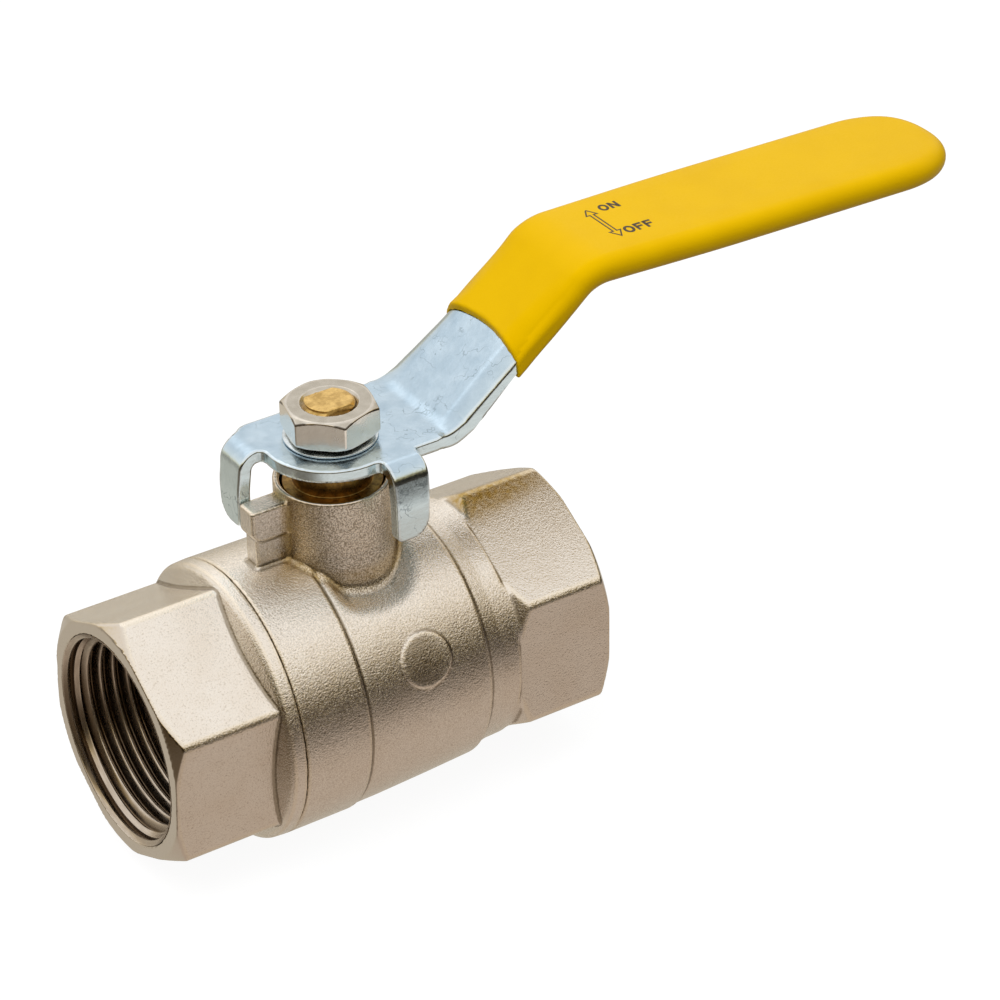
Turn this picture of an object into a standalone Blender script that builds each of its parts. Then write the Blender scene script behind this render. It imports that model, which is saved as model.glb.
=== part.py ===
"""Full-bore lever ball valve for 1 inch pipe: forged body, screwed end connector, ball, stem and lever.

Every piece is drawn about the centre of the ball, in millimetres: +X runs along the pipe towards the
outlet and the lever's grip, +Y across it and +Z up the stem. An empty carries the whole valve, so the
world's origin lies under the middle of its length, level with the bottom of the body. The valve is open.
"""
import bmesh
import bpy
import math

MM = 0.001
GAP = 0.3
SEGMENTS = 48
FINE_SEGMENTS = 32
SMALL_SEGMENTS = 24

# Pipe side: 1 inch BSP, Rp 1.
THREAD_MINOR_R = 15.15
MOUTH_R = 16.9
SOCKET_DEPTH = 17.0
PASSAGE_R = 12.5

# Ball and seats.
BALL_R = 18.5
BALL_BORE_R = 12.0
SLOT_WIDTH = 5.0
SLOT_FLOOR_Z = 14.2
SEAT_INNER_R = 12.5
SEAT_OUTER_R = 17.0
SEAT_BACK_X = 15.4
SEAT_FRONT_X = 9.6

# Turned faces and chamfers on both hexagonal ends.
HEX_FACE_R = 19.5
HEX_CHAMFER_DEPTH = 1.7

# Body.
BODY_R = 22.9
BARREL_R = 22.2
SHOULDER_R = 21.5
WAIST_R = 20.3
SEAM_X = -20.0
GROOVE_X = -7.7
SHOULDER_X = 15.4
OUTLET_X = 38.9
OUTLET_HEX_R = 22.2
OUTLET_STEP_X = 21.2
CAVITY_R = 19.7
SPIGOT_BORE_R = 20.4

# End connector.
INLET_X = -40.5
INLET_HEX_R = 22.2
INLET_HEX_TURN = math.radians(4.7)
INLET_HEX_START_X = -24.0

# Neck and stop lug.
NECK_R = 9.3
NECK_TOP_Z = 34.3
NECK_FILLET = 2.4
NECK_FOOT_Z = 22.6
LUG_X = -15.6
LUG_TOP_Z = 33.2
LUG_HALF_WIDTH = 1.9

# Stem line, from the ball upwards.
STEM_R = 5.0
STEM_BORE_R = 5.3
HEAD_R = 6.8
HEAD_LOW_Z = 18.9
HEAD_TOP_Z = 20.9
POCKET_TOP_Z = 22.5
CHAMBER_FLOOR_Z = 27.6
CHAMBER_R = 8.2
O_RING_R = 0.5
O_RING_HEIGHTS = (24.1, 26.0)
PACKING_HEIGHT = 1.3
GLAND_THREAD_R = 7.9
GLAND_SHOULDER_Z = 33.5
GLAND_COLLAR_R = 6.2
GLAND_TOP_Z = 38.4
STEM_SHOULDER_Z = 38.6
STEM_TOP_Z = 47.4
STEM_THREAD_R = 4.0
STEM_FLAT_Y = 3.0

# Lever.
SHEET = 2.2
LEVER_MID_Z = 40.0
LEVER_HALF_WIDTH = 10.4
LEVER_FRONT_R = 10.8
ARM_START_X = 13.0
ARM_LOW_BEND_X = 15.9
ARM_HIGH_BEND = (42.5, 60.05)
ARM_END = (110.5, 58.65)
LOW_BEND_R = 5.0
HIGH_BEND_R = 9.0
ARM_NARROW_HALF_WIDTH = 9.3
ARM_TAPER_LENGTH = 17.0
ARM_STATION_SPACING = 6.0
EDGE_DROP = 1.4
EDGE_DROP_IN_GRIP = 0.2
TAB_NEAR = 2.2
TAB_FAR = 8.2
TAB_FAR_LOW = 7.6
TAB_OUT = 14.4
TAB_BEND_R = 2.6
TAB_LOW_Z = 28.5
TAB_CORNER_R = 2.2

# Grip sleeve.
SLEEVE_MOUTH_ALONG = 18.5
SLEEVE_TIP_X = 116.4
SLEEVE_HALF_WIDTH = 10.7
SLEEVE_HALF_HEIGHT = 2.4
SLEEVE_CORNER_R = 2.35
SLEEVE_SINK = 0.1
SLEEVE_TIP_LENGTH = 13.0
SLEEVE_EDGE_ROOM = 0.5

# Washer and nut.
WASHER_R = 7.8
WASHER_HOLE_R = 4.4
WASHER_THICKNESS = 0.7
NUT_HOLE_R = 4.3
NUT_CORNER_R = 7.9
NUT_FACE_R = 6.7
NUT_TURN = math.radians(17.0)
NUT_HEIGHT = 4.9
STACK_GAP = 0.2


def clear_scene():
    for obj in list(bpy.data.objects):
        bpy.data.objects.remove(obj)


def make_material(name, colour, roughness, metallic):
    material = bpy.data.materials.new(name)
    material.use_nodes = True
    shader = material.node_tree.nodes["Principled BSDF"]
    shader.inputs["Base Color"].default_value = (*colour, 1.0)
    shader.inputs["Roughness"].default_value = roughness
    shader.inputs["Metallic"].default_value = metallic
    return material


def add_empty(name, parent=None, location=(0.0, 0.0, 0.0)):
    empty = bpy.data.objects.new(name, None)
    empty.location = [value * MM for value in location]
    empty.parent = parent
    bpy.context.collection.objects.link(empty)
    return empty


def add_object(name, bm, parent, material=None):
    """Turns a bmesh drawn in millimetres into an object under its parent."""
    bmesh.ops.recalc_face_normals(bm, faces=bm.faces)
    bmesh.ops.scale(bm, vec=(MM, MM, MM), verts=bm.verts)
    mesh = bpy.data.meshes.new(name)
    bm.to_mesh(mesh)
    bm.free()
    mesh.shade_smooth()
    mesh.set_sharp_from_angle(angle=math.radians(35.0))
    obj = bpy.data.objects.new(name, mesh)
    bpy.context.collection.objects.link(obj)
    obj.parent = parent
    if material:
        mesh.materials.append(material)
    return obj


def boolean(target, tool, operation):
    """Cuts, joins or trims the target by a hidden tool shape."""
    modifier = target.modifiers.new(tool.name, "BOOLEAN")
    modifier.operation = operation
    modifier.solver = "EXACT"
    modifier.object = tool
    tool.hide_render = True
    tool.display_type = "WIRE"


def on_axis(axis, along, radius, angle):
    """A point at a distance along the X or Z axis, and around it."""
    side = radius * math.cos(angle)
    rise = radius * math.sin(angle)
    if axis == "X":
        return (along, side, rise)
    return (side, rise, along)


def turned(profile, axis, segments=SEGMENTS):
    """Turns a closed outline of (along, radius) points about an axis."""
    bm = bmesh.new()
    rings = []
    for along, radius in profile:
        count = segments if radius > 0.0 else 1
        angles = [2.0 * math.pi * step / segments for step in range(count)]
        rings.append([bm.verts.new(on_axis(axis, along, radius, angle)) for angle in angles])
    for index, ring in enumerate(rings):
        following = rings[(index + 1) % len(rings)]
        if len(ring) == 1 and len(following) == 1:
            continue
        for step in range(segments):
            around = (step + 1) % segments
            corners = [
                ring[step % len(ring)],
                ring[around % len(ring)],
                following[around % len(following)],
                following[step % len(following)],
            ]
            bm.faces.new(list(dict.fromkeys(corners)))
    return bm


def prism(outline, place):
    """Extrudes an outline: place(u, v, end) gives a corner's point at the low or high end."""
    bm = bmesh.new()
    low = [bm.verts.new(place(u, v, 0)) for u, v in outline]
    high = [bm.verts.new(place(u, v, 1)) for u, v in outline]
    bm.faces.new(low)
    bm.faces.new(high)
    for index in range(len(outline)):
        after = (index + 1) % len(outline)
        bm.faces.new((low[index], low[after], high[after], high[index]))
    return bm


def arc(centre, radius, start, end, steps):
    """Points on an arc, both ends included, with angles in degrees."""
    points = []
    for step in range(steps + 1):
        angle = math.radians(start + (end - start) * step / steps)
        points.append((centre[0] + radius * math.cos(angle), centre[1] + radius * math.sin(angle)))
    return points


def hexagon(radius, turn):
    return [
        (radius * math.cos(turn + math.pi * side / 3.0), radius * math.sin(turn + math.pi * side / 3.0))
        for side in range(6)
    ]


def hex_bar(name, parent, axis, radius, turn, ends, blank):
    """A hexagonal bar trimmed by a turned blank, which gives it its chamfers."""

    def place(u, v, end):
        return (ends[end], u, v) if axis == "X" else (u, v, ends[end])

    bar = add_object(name, prism(hexagon(radius, turn), place), parent)
    trim = add_object(name + "_blank", turned(blank, axis), parent)
    boolean(bar, trim, "INTERSECT")
    return bar


def socket_profile(face_x, inward):
    """Cutter for a threaded pipe socket: mouth chamfer, thread bore and the passage behind it."""
    floor_x = face_x + inward * SOCKET_DEPTH
    depth = MOUTH_R - THREAD_MINOR_R
    return [
        (face_x - inward, 0.0),
        (face_x - inward, MOUTH_R),
        (face_x + inward * 0.3, MOUTH_R),
        (face_x + inward * (0.3 + depth), THREAD_MINOR_R),
        (floor_x, THREAD_MINOR_R),
        (floor_x, 0.0),
    ]


def make_body(parent, material):
    """Forged body with the neck, the stop lug and the outlet's hexagon."""
    flat_r = OUTLET_HEX_R * math.cos(math.pi / 6.0)
    shell = [
        (SEAM_X + GAP / 2.0, 10.0),
        (SEAM_X + GAP / 2.0, BODY_R - 0.2),
        (SEAM_X + GAP / 2.0 + 0.2, BODY_R),
        (GROOVE_X - 0.3, BODY_R),
        (GROOVE_X, BARREL_R + 0.1),
        (GROOVE_X + 0.4, BARREL_R + 0.4),
        (GROOVE_X + 3.2, BARREL_R + 0.2),
        (5.0, BARREL_R - 0.2),
        (SHOULDER_X - 0.8, SHOULDER_R),
        (SHOULDER_X, SHOULDER_R - 0.3),
        (SHOULDER_X + 2.8, WAIST_R + 0.2),
        (SHOULDER_X + 4.6, WAIST_R),
        (OUTLET_STEP_X, WAIST_R),
        (OUTLET_STEP_X + 0.8, flat_r - 0.3),
        (OUTLET_X - 2.0, flat_r - 0.4),
        (OUTLET_X - 2.0, 10.0),
    ]
    body = add_object("valve_body", turned(shell, "X"), parent, material)

    blank = [
        (OUTLET_STEP_X - 0.3, 0.0),
        (OUTLET_STEP_X - 0.3, flat_r - 0.3),
        (OUTLET_STEP_X + 2.6, OUTLET_HEX_R - 0.1),
        (OUTLET_X - HEX_CHAMFER_DEPTH, OUTLET_HEX_R - 0.1),
        (OUTLET_X, HEX_FACE_R),
        (OUTLET_X, 0.0),
    ]
    ends = (OUTLET_STEP_X - 1.0, OUTLET_X + 1.0)
    outlet = hex_bar("outlet_hexagon", parent, "X", OUTLET_HEX_R, math.pi / 2.0, ends, blank)
    boolean(body, outlet, "UNION")

    boolean(body, add_object("lug", lug_shape(), parent), "UNION")
    boolean(body, add_object("neck", turned(neck_profile(), "Z", FINE_SEGMENTS), parent), "UNION")
    boolean(body, add_object("body_cavity", turned(cavity_profile(), "X"), parent), "DIFFERENCE")
    socket = turned(socket_profile(OUTLET_X, -1.0), "X")
    boolean(body, add_object("outlet_socket", socket, parent), "DIFFERENCE")
    neck_bore = turned(neck_bore_profile(), "Z", FINE_SEGMENTS)
    boolean(body, add_object("neck_bore", neck_bore, parent), "DIFFERENCE")
    return body


def neck_profile():
    foot = arc((NECK_R + NECK_FILLET, NECK_FOOT_Z), NECK_FILLET, 180.0, 260.0, 5)
    outline = [(NECK_TOP_Z, 0.0), (NECK_TOP_Z, NECK_R - 0.5), (NECK_TOP_Z - 0.5, NECK_R)]
    outline += [(z, r) for r, z in foot]
    outline += [(17.0, foot[-1][0]), (17.0, 0.0)]
    return outline


def lug_shape():
    """Stop lug on the neck's inlet side, drawn in the XZ plane."""
    corner = arc((LUG_X + 1.2, LUG_TOP_Z - 1.2), 1.2, 180.0, 90.0, 3)
    outline = [(LUG_X + 0.5, 19.0), (LUG_X + 0.5, 27.0), (LUG_X, 29.2)]
    outline += corner
    outline += [(-6.0, LUG_TOP_Z), (-6.0, 19.0)]

    def place(x, z, end):
        return (x, (-LUG_HALF_WIDTH, LUG_HALF_WIDTH)[end], z)

    return prism(outline, place)


def cavity_profile():
    """Room for the spigot, the ball and the outlet seat, open towards the inlet."""
    return [
        (SEAM_X - 2.0, 0.0),
        (SEAM_X - 2.0, SPIGOT_BORE_R),
        (-SEAT_FRONT_X + 0.5, SPIGOT_BORE_R),
        (-SEAT_FRONT_X + 0.5, CAVITY_R),
        (SEAT_FRONT_X - GAP, CAVITY_R),
        (SEAT_FRONT_X - GAP, SEAT_OUTER_R + GAP),
        (SEAT_BACK_X + GAP, SEAT_OUTER_R + GAP),
        (SEAT_BACK_X + GAP, PASSAGE_R),
        (OUTLET_X - 1.0, PASSAGE_R),
        (OUTLET_X - 1.0, 0.0),
    ]


def neck_bore_profile():
    return [
        (BALL_R - 3.0, 0.0),
        (BALL_R - 3.0, HEAD_R + GAP),
        (POCKET_TOP_Z, HEAD_R + GAP),
        (POCKET_TOP_Z, STEM_BORE_R),
        (CHAMBER_FLOOR_Z, STEM_BORE_R),
        (CHAMBER_FLOOR_Z, CHAMBER_R),
        (NECK_TOP_Z + 1.0, CHAMBER_R),
        (NECK_TOP_Z + 1.0, 0.0),
    ]


def make_end_connector(parent, material):
    """Hexagonal inlet end with its spigot, which screws into the body and holds the inlet seat."""
    spigot_r = SPIGOT_BORE_R - GAP
    seam = SEAM_X - GAP / 2.0
    flat_r = INLET_HEX_R * math.cos(math.pi / 6.0)
    shell = [
        (INLET_X + 2.0, 10.0),
        (INLET_X + 2.0, flat_r - 0.4),
        (INLET_HEX_START_X - 3.0, flat_r - 0.2),
        (INLET_HEX_START_X - 0.9, BODY_R - 1.6),
        (INLET_HEX_START_X - 0.3, BODY_R - 0.9),
        (INLET_HEX_START_X + 0.8, BODY_R - 0.3),
        (seam - 0.2, BODY_R),
        (seam, BODY_R - 0.2),
        (seam, spigot_r),
        (-SEAT_FRONT_X - 0.5, spigot_r),
        (-SEAT_FRONT_X, spigot_r - 0.5),
        (-SEAT_FRONT_X, SEAT_OUTER_R + GAP),
        (-SEAT_BACK_X - GAP, SEAT_OUTER_R + GAP),
        (-SEAT_BACK_X - GAP, 10.0),
    ]
    connector = add_object("end_connector", turned(shell, "X"), parent, material)
    blank = [
        (INLET_X, 0.0),
        (INLET_X, HEX_FACE_R),
        (INLET_X + HEX_CHAMFER_DEPTH, INLET_HEX_R - 0.1),
        (INLET_HEX_START_X, INLET_HEX_R - 0.1),
        (INLET_HEX_START_X, 0.0),
    ]
    turn = math.pi / 2.0 + INLET_HEX_TURN
    ends = (INLET_X - 1.0, INLET_HEX_START_X + 1.0)
    hexagon_end = hex_bar("inlet_hexagon", parent, "X", INLET_HEX_R, turn, ends, blank)
    boolean(connector, hexagon_end, "UNION")
    socket = turned(socket_profile(INLET_X, 1.0), "X")
    boolean(connector, add_object("inlet_socket", socket, parent), "DIFFERENCE")
    passage = [(INLET_X + 5.0, 0.0), (INLET_X + 5.0, PASSAGE_R), (0.0, PASSAGE_R), (0.0, 0.0)]
    boolean(connector, add_object("inlet_passage", turned(passage, "X"), parent), "DIFFERENCE")
    return connector


def make_ball(parent, material):
    """Ball with its bore along the pipe and the stem's slot across the top."""
    globe = [(BALL_R * math.cos(math.pi * step / 24.0), BALL_R * math.sin(math.pi * step / 24.0))
             for step in range(25)]
    globe[-1] = (-BALL_R, 0.0)
    ball = add_object("ball", turned(globe, "X", FINE_SEGMENTS), parent, material)
    reach = BALL_R + 2.0
    bore = [(-reach, 0.0), (-reach, BALL_BORE_R), (reach, BALL_BORE_R), (reach, 0.0)]
    boolean(ball, add_object("ball_bore", turned(bore, "X", FINE_SEGMENTS), parent), "DIFFERENCE")
    half = SLOT_WIDTH / 2.0
    outline = [(-half, SLOT_FLOOR_Z), (half, SLOT_FLOOR_Z), (half, BALL_R + 2.0), (-half, BALL_R + 2.0)]

    def place(x, z, end):
        return (x, (-BALL_R, BALL_R)[end], z)

    boolean(ball, add_object("ball_slot", prism(outline, place), parent), "DIFFERENCE")
    return ball


def make_seat(name, side, parent, material):
    """Seat ring whose front face is hollowed to the ball; side is 1 at the outlet and -1 at the inlet."""
    rub_r = BALL_R + GAP
    start = math.degrees(math.asin(SEAT_INNER_R / rub_r))
    end = math.degrees(math.acos(SEAT_FRONT_X / rub_r))
    hollow = arc((0.0, 0.0), rub_r, start, end, 5)
    ring = hollow + [(SEAT_FRONT_X, SEAT_OUTER_R), (SEAT_BACK_X, SEAT_OUTER_R), (SEAT_BACK_X, SEAT_INNER_R)]
    profile = [(side * x, r) for x, r in ring]
    return add_object(name, turned(profile, "X", FINE_SEGMENTS), parent, material)


def make_stem(parent, material):
    """Blow-out-proof stem: tang, head, shank with two grooves, and the flattened thread for the lever."""
    profile = [(HEAD_LOW_Z, 0.0), (HEAD_LOW_Z, HEAD_R - 0.5), (HEAD_LOW_Z + 0.5, HEAD_R)]
    profile += [(HEAD_TOP_Z, HEAD_R), (HEAD_TOP_Z, STEM_R)]
    groove_r = STEM_R - 2.0 * O_RING_R - 0.1
    half = O_RING_R + 0.2
    for height in O_RING_HEIGHTS:
        profile += [(height - half, STEM_R), (height - half, groove_r)]
        profile += [(height + half, groove_r), (height + half, STEM_R)]
    profile += [(STEM_SHOULDER_Z, STEM_R), (STEM_SHOULDER_Z, 0.0)]
    stem = add_object("stem", turned(profile, "Z", FINE_SEGMENTS), parent, material)

    half_tang = SLOT_WIDTH / 2.0 - GAP
    reach = HEAD_R - 1.0
    tang = [(-half_tang, -reach), (half_tang, -reach), (half_tang, reach), (-half_tang, reach)]

    def place_tang(x, y, end):
        return (x, y, (SLOT_FLOOR_Z + GAP, HEAD_LOW_Z + 1.0)[end])

    boolean(stem, add_object("tang", prism(tang, place_tang), parent), "UNION")

    def place_thread(x, y, end):
        return (x, y, (STEM_SHOULDER_Z - 1.0, STEM_TOP_Z)[end])

    thread = prism(double_d(STEM_THREAD_R, STEM_FLAT_Y), place_thread)
    boolean(stem, add_object("stem_thread", thread, parent), "UNION")
    return stem


def double_d(radius, flat_y):
    """A circle with two flats, facing +Y and -Y."""
    reach = math.degrees(math.asin(flat_y / radius))
    right = arc((0.0, 0.0), radius, -reach, reach, 8)
    left = arc((0.0, 0.0), radius, 180.0 - reach, 180.0 + reach, 8)
    return right + left


def make_ring(name, inner, outer, low, high, parent, material):
    """A plain flat ring round the stem's line."""
    profile = [(low, inner), (low, outer), (high, outer), (high, inner)]
    return add_object(name, turned(profile, "Z", SMALL_SEGMENTS), parent, material)


def make_o_ring(name, height, parent, material):
    centre = (height, STEM_R - O_RING_R)
    profile = arc(centre, O_RING_R, 0.0, 300.0, 5)
    return add_object(name, turned(profile, "Z", SMALL_SEGMENTS), parent, material)


def make_gland_nut(parent, material):
    low = CHAMBER_FLOOR_Z + 3.0 * GAP + 2.0 * PACKING_HEIGHT
    profile = [
        (low, STEM_BORE_R),
        (low, GLAND_THREAD_R),
        (GLAND_SHOULDER_Z, GLAND_THREAD_R),
        (GLAND_SHOULDER_Z, GLAND_COLLAR_R),
        (GLAND_TOP_Z - 0.4, GLAND_COLLAR_R),
        (GLAND_TOP_Z, GLAND_COLLAR_R - 0.4),
        (GLAND_TOP_Z, STEM_BORE_R),
    ]
    return add_object("gland_nut", turned(profile, "Z", FINE_SEGMENTS), parent, material)


def bent_path(corners, radii, steps=6):
    """Points along straight runs joined by arcs: corners are (u, v) and radii belong to the inner ones."""
    points = [corners[0]]
    for index, radius in enumerate(radii, start=1):
        before, corner, after = corners[index - 1], corners[index], corners[index + 1]
        heading_in = math.atan2(corner[1] - before[1], corner[0] - before[0])
        heading_out = math.atan2(after[1] - corner[1], after[0] - corner[0])
        turn = heading_out - heading_in
        reach = radius * math.tan(abs(turn) / 2.0)
        side = math.copysign(1.0, turn)
        start_u = corner[0] - reach * math.cos(heading_in)
        start_v = corner[1] - reach * math.sin(heading_in)
        centre_u = start_u - side * radius * math.sin(heading_in)
        centre_v = start_v + side * radius * math.cos(heading_in)
        for step in range(steps + 1):
            heading = heading_in + turn * step / steps
            points.append((centre_u + side * radius * math.sin(heading),
                           centre_v - side * radius * math.cos(heading)))
    points.append(corners[-1])
    return points


def measured_path(points):
    """Adds to each point its heading and the length of path up to it."""
    stations = []
    run = 0.0
    for index, point in enumerate(points):
        before = points[max(index - 1, 0)]
        after = points[min(index + 1, len(points) - 1)]
        run += math.dist(before, point)
        heading = math.atan2(after[1] - before[1], after[0] - before[0])
        stations.append((point, heading, run))
    return stations


def smooth(value):
    value = min(max(value, 0.0), 1.0)
    return value * value * (3.0 - 2.0 * value)


def arm_stations():
    """The middle line of the lever's arm, in the XZ plane."""
    corners = [(ARM_START_X, LEVER_MID_Z), (ARM_LOW_BEND_X, LEVER_MID_Z), ARM_HIGH_BEND, ARM_END]
    path = bent_path(corners, (LOW_BEND_R, HIGH_BEND_R))
    return measured_path(split_runs(path, ARM_STATION_SPACING))


def split_runs(points, longest):
    """The same path with extra points, so that no run is longer than the limit."""
    path = [points[0]]
    for before, after in zip(points, points[1:]):
        count = math.ceil(math.dist(before, after) / longest)
        for step in range(1, count + 1):
            share = step / count
            path.append((before[0] + (after[0] - before[0]) * share,
                         before[1] + (after[1] - before[1]) * share))
    return path


def edge_drop(along):
    """How far the arm's edges turn down: most on the open slope, and little inside the level grip."""
    turned_down = EDGE_DROP * smooth((along - 1.0) / 10.0)
    return turned_down + (EDGE_DROP_IN_GRIP - turned_down) * smooth((along - SLEEVE_MOUTH_ALONG) / 16.0)


def arm_section(along, widen=0.0):
    """Nine (across, drop) points of the arm's middle surface, whose edges turn down past the low bend."""
    into_arm = smooth(along / ARM_TAPER_LENGTH)
    half = LEVER_HALF_WIDTH + (ARM_NARROW_HALF_WIDTH - LEVER_HALF_WIDTH) * into_arm + widen
    points = []
    for index in range(-4, 5):
        share = index / 4.0
        points.append((half * share, edge_drop(along) * smooth((abs(share) - 0.4) / 0.6)))
    return points


def place_on_path(station, across, lift):
    (x, z), heading, run = station
    return (x - lift * math.sin(heading), across, z + lift * math.cos(heading))


def plate_outline():
    """The lever's plate round the stem, from the arm's +Y corner anticlockwise to its -Y corner."""
    front_reach = math.degrees(math.asin(TAB_NEAR / LEVER_FRONT_R))
    root = TAB_OUT - TAB_BEND_R
    outline = [(-3.0, LEVER_HALF_WIDTH), (-8.8, LEVER_HALF_WIDTH - 0.1), (-10.9, TAB_FAR + 1.2)]
    outline += [(-root, TAB_FAR), (-root, TAB_NEAR)]
    outline += arc((0.0, 0.0), LEVER_FRONT_R, 180.0 - front_reach, 270.0 + front_reach, 12)
    outline += [(TAB_NEAR, -root), (TAB_FAR, -root), (TAB_FAR + 0.4, -LEVER_HALF_WIDTH - 0.5)]
    outline += [(TAB_FAR + 1.2, -LEVER_HALF_WIDTH)]
    return outline


def add_tab(bm, near, far, outward, sideways):
    """Bends a stop tab down from two corners of the plate; sideways points away from the stop lug."""
    straight_end = (TAB_OUT, TAB_LOW_Z + TAB_CORNER_R)
    corners = [(TAB_OUT - TAB_BEND_R, LEVER_MID_Z), (TAB_OUT, LEVER_MID_Z), straight_end]
    path = bent_path(corners, (TAB_BEND_R - 0.01,), 5)[1:]
    corner_arc = arc((0.0, 0.0), TAB_CORNER_R, 0.0, 75.0, 4)
    rows = [(out, z, 0.0) for out, z in path]
    rows += [(TAB_OUT, straight_end[1] - rise, TAB_CORNER_R - inset) for inset, rise in corner_arc[1:]]
    top_z = LEVER_MID_Z
    last = (near, far)
    for out, z, inset in rows[1:]:
        far_side = TAB_FAR + (TAB_FAR_LOW - TAB_FAR) * (top_z - z) / (top_z - TAB_LOW_Z) - inset
        near_side = TAB_NEAR + 0.5 * inset
        row = []
        for side in (near_side, far_side):
            x = out * outward[0] + side * sideways[0]
            y = out * outward[1] + side * sideways[1]
            row.append(bm.verts.new((x, y, z)))
        bm.faces.new((last[0], last[1], row[1], row[0]))
        last = tuple(row)


def make_lever(parent, material):
    """Steel lever: one bent sheet with the stem's hole, two stop tabs and the arm inside the grip."""
    bm = bmesh.new()
    stations = arm_stations()
    rows = []
    for station in stations:
        section = arm_section(station[2])
        rows.append([bm.verts.new(place_on_path(station, across, -drop)) for across, drop in section])
    for low, high in zip(rows, rows[1:]):
        for index in range(len(low) - 1):
            bm.faces.new((low[index], low[index + 1], high[index + 1], high[index]))

    rim = [bm.verts.new((x, y, LEVER_MID_Z)) for x, y in plate_outline()]
    loop = rows[0] + rim
    hole = [bm.verts.new((x, y, LEVER_MID_Z)) for x, y in double_d(STEM_THREAD_R + GAP, STEM_FLAT_Y + GAP)]
    edges = []
    for ring in (loop, hole):
        for index, vert in enumerate(ring):
            after = ring[(index + 1) % len(ring)]
            edges.append(bm.edges.get((vert, after)) or bm.edges.new((vert, after)))
    bmesh.ops.triangle_fill(bm, edges=edges, use_beauty=True)

    root = TAB_OUT - TAB_BEND_R
    corner = {(round(v.co.x, 3), round(v.co.y, 3)): v for v in rim}
    add_tab(bm, corner[(-root, TAB_NEAR)], corner[(-root, TAB_FAR)], (-1.0, 0.0), (0.0, 1.0))
    add_tab(bm, corner[(TAB_NEAR, -root)], corner[(TAB_FAR, -root)], (0.0, -1.0), (1.0, 0.0))

    lever = add_object("lever", bm, parent, material)
    solid = lever.modifiers.new("sheet", "SOLIDIFY")
    solid.thickness = SHEET * MM
    solid.offset = 0.0
    solid.use_even_offset = True
    return lever


def path_at(along):
    """A station at any length along the arm's line, continued straight past its end."""
    stations = arm_stations()
    for before, after in zip(stations, stations[1:]):
        if along <= after[2] or after is stations[-1]:
            share = (along - before[2]) / (after[2] - before[2])
            x = before[0][0] + (after[0][0] - before[0][0]) * share
            z = before[0][1] + (after[0][1] - before[0][1]) * share
            heading = before[1] + (after[1] - before[1]) * min(max(share, 0.0), 1.0)
            return ((x, z), heading, along)


def tip_along():
    """Length along the arm's line at which it reaches the tip of the sleeve."""
    end = arm_stations()[-1]
    return end[2] + (SLEEVE_TIP_X - end[0][0]) / math.cos(end[1])


def rounded_rectangle(half_width, half_height, radius, steps=4):
    outline = []
    for side, rise, start in ((1, 1, 0.0), (-1, 1, 90.0), (-1, -1, 180.0), (1, -1, 270.0)):
        centre = (side * (half_width - radius), rise * (half_height - radius))
        outline += arc(centre, radius, start, start + 90.0, steps)
    return outline


def stations_between(low, high):
    """Lengths along the arm of its stations between two limits."""
    return [station[2] for station in arm_stations() if low < station[2] < high]


def sleeve_lengths():
    """Lengths along the arm at which the sleeve's sections stand."""
    tip = tip_along()
    bends = stations_between(SLEEVE_MOUTH_ALONG + 0.5, tip - SLEEVE_TIP_LENGTH - 0.5)
    ends = arc((tip - SLEEVE_TIP_LENGTH, 0.0), SLEEVE_TIP_LENGTH, 90.0, 0.0, 8)
    rounding = [along for along, _ in ends]
    return [SLEEVE_MOUTH_ALONG] + bends + rounding


def make_sleeve(parent, material):
    """Soft grip sleeve pushed over the arm, open at its mouth and rounded at its tip."""
    tip = tip_along()
    bm = bmesh.new()
    rows = []
    for along in sleeve_lengths():
        station = path_at(along)
        share = max(along - (tip - SLEEVE_TIP_LENGTH), 0.0) / SLEEVE_TIP_LENGTH
        taper = math.sqrt(max(1.0 - share * share, 0.0))
        half_width = max(SLEEVE_HALF_WIDTH * (0.25 + 0.75 * taper), SLEEVE_CORNER_R + 0.1)
        half_height = (SLEEVE_HALF_HEIGHT + 0.45 * edge_drop(along)) * (0.55 + 0.45 * taper)
        sink = SLEEVE_SINK + 0.55 * edge_drop(along)
        radius = min(SLEEVE_CORNER_R, half_height - 0.1)
        section = rounded_rectangle(half_width, half_height, radius)
        rows.append([bm.verts.new(place_on_path(station, u, v - sink)) for u, v in section])
    for low, high in zip(rows, rows[1:]):
        for index in range(len(low)):
            after = (index + 1) % len(low)
            bm.faces.new((low[index], low[after], high[after], high[index]))
    bm.faces.new(rows[0])
    bm.faces.new(rows[-1])
    sleeve = add_object("lever_sleeve", bm, parent, material)
    boolean(sleeve, add_object("sleeve_hollow", sleeve_hollow(), parent), "DIFFERENCE")
    return sleeve


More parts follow.
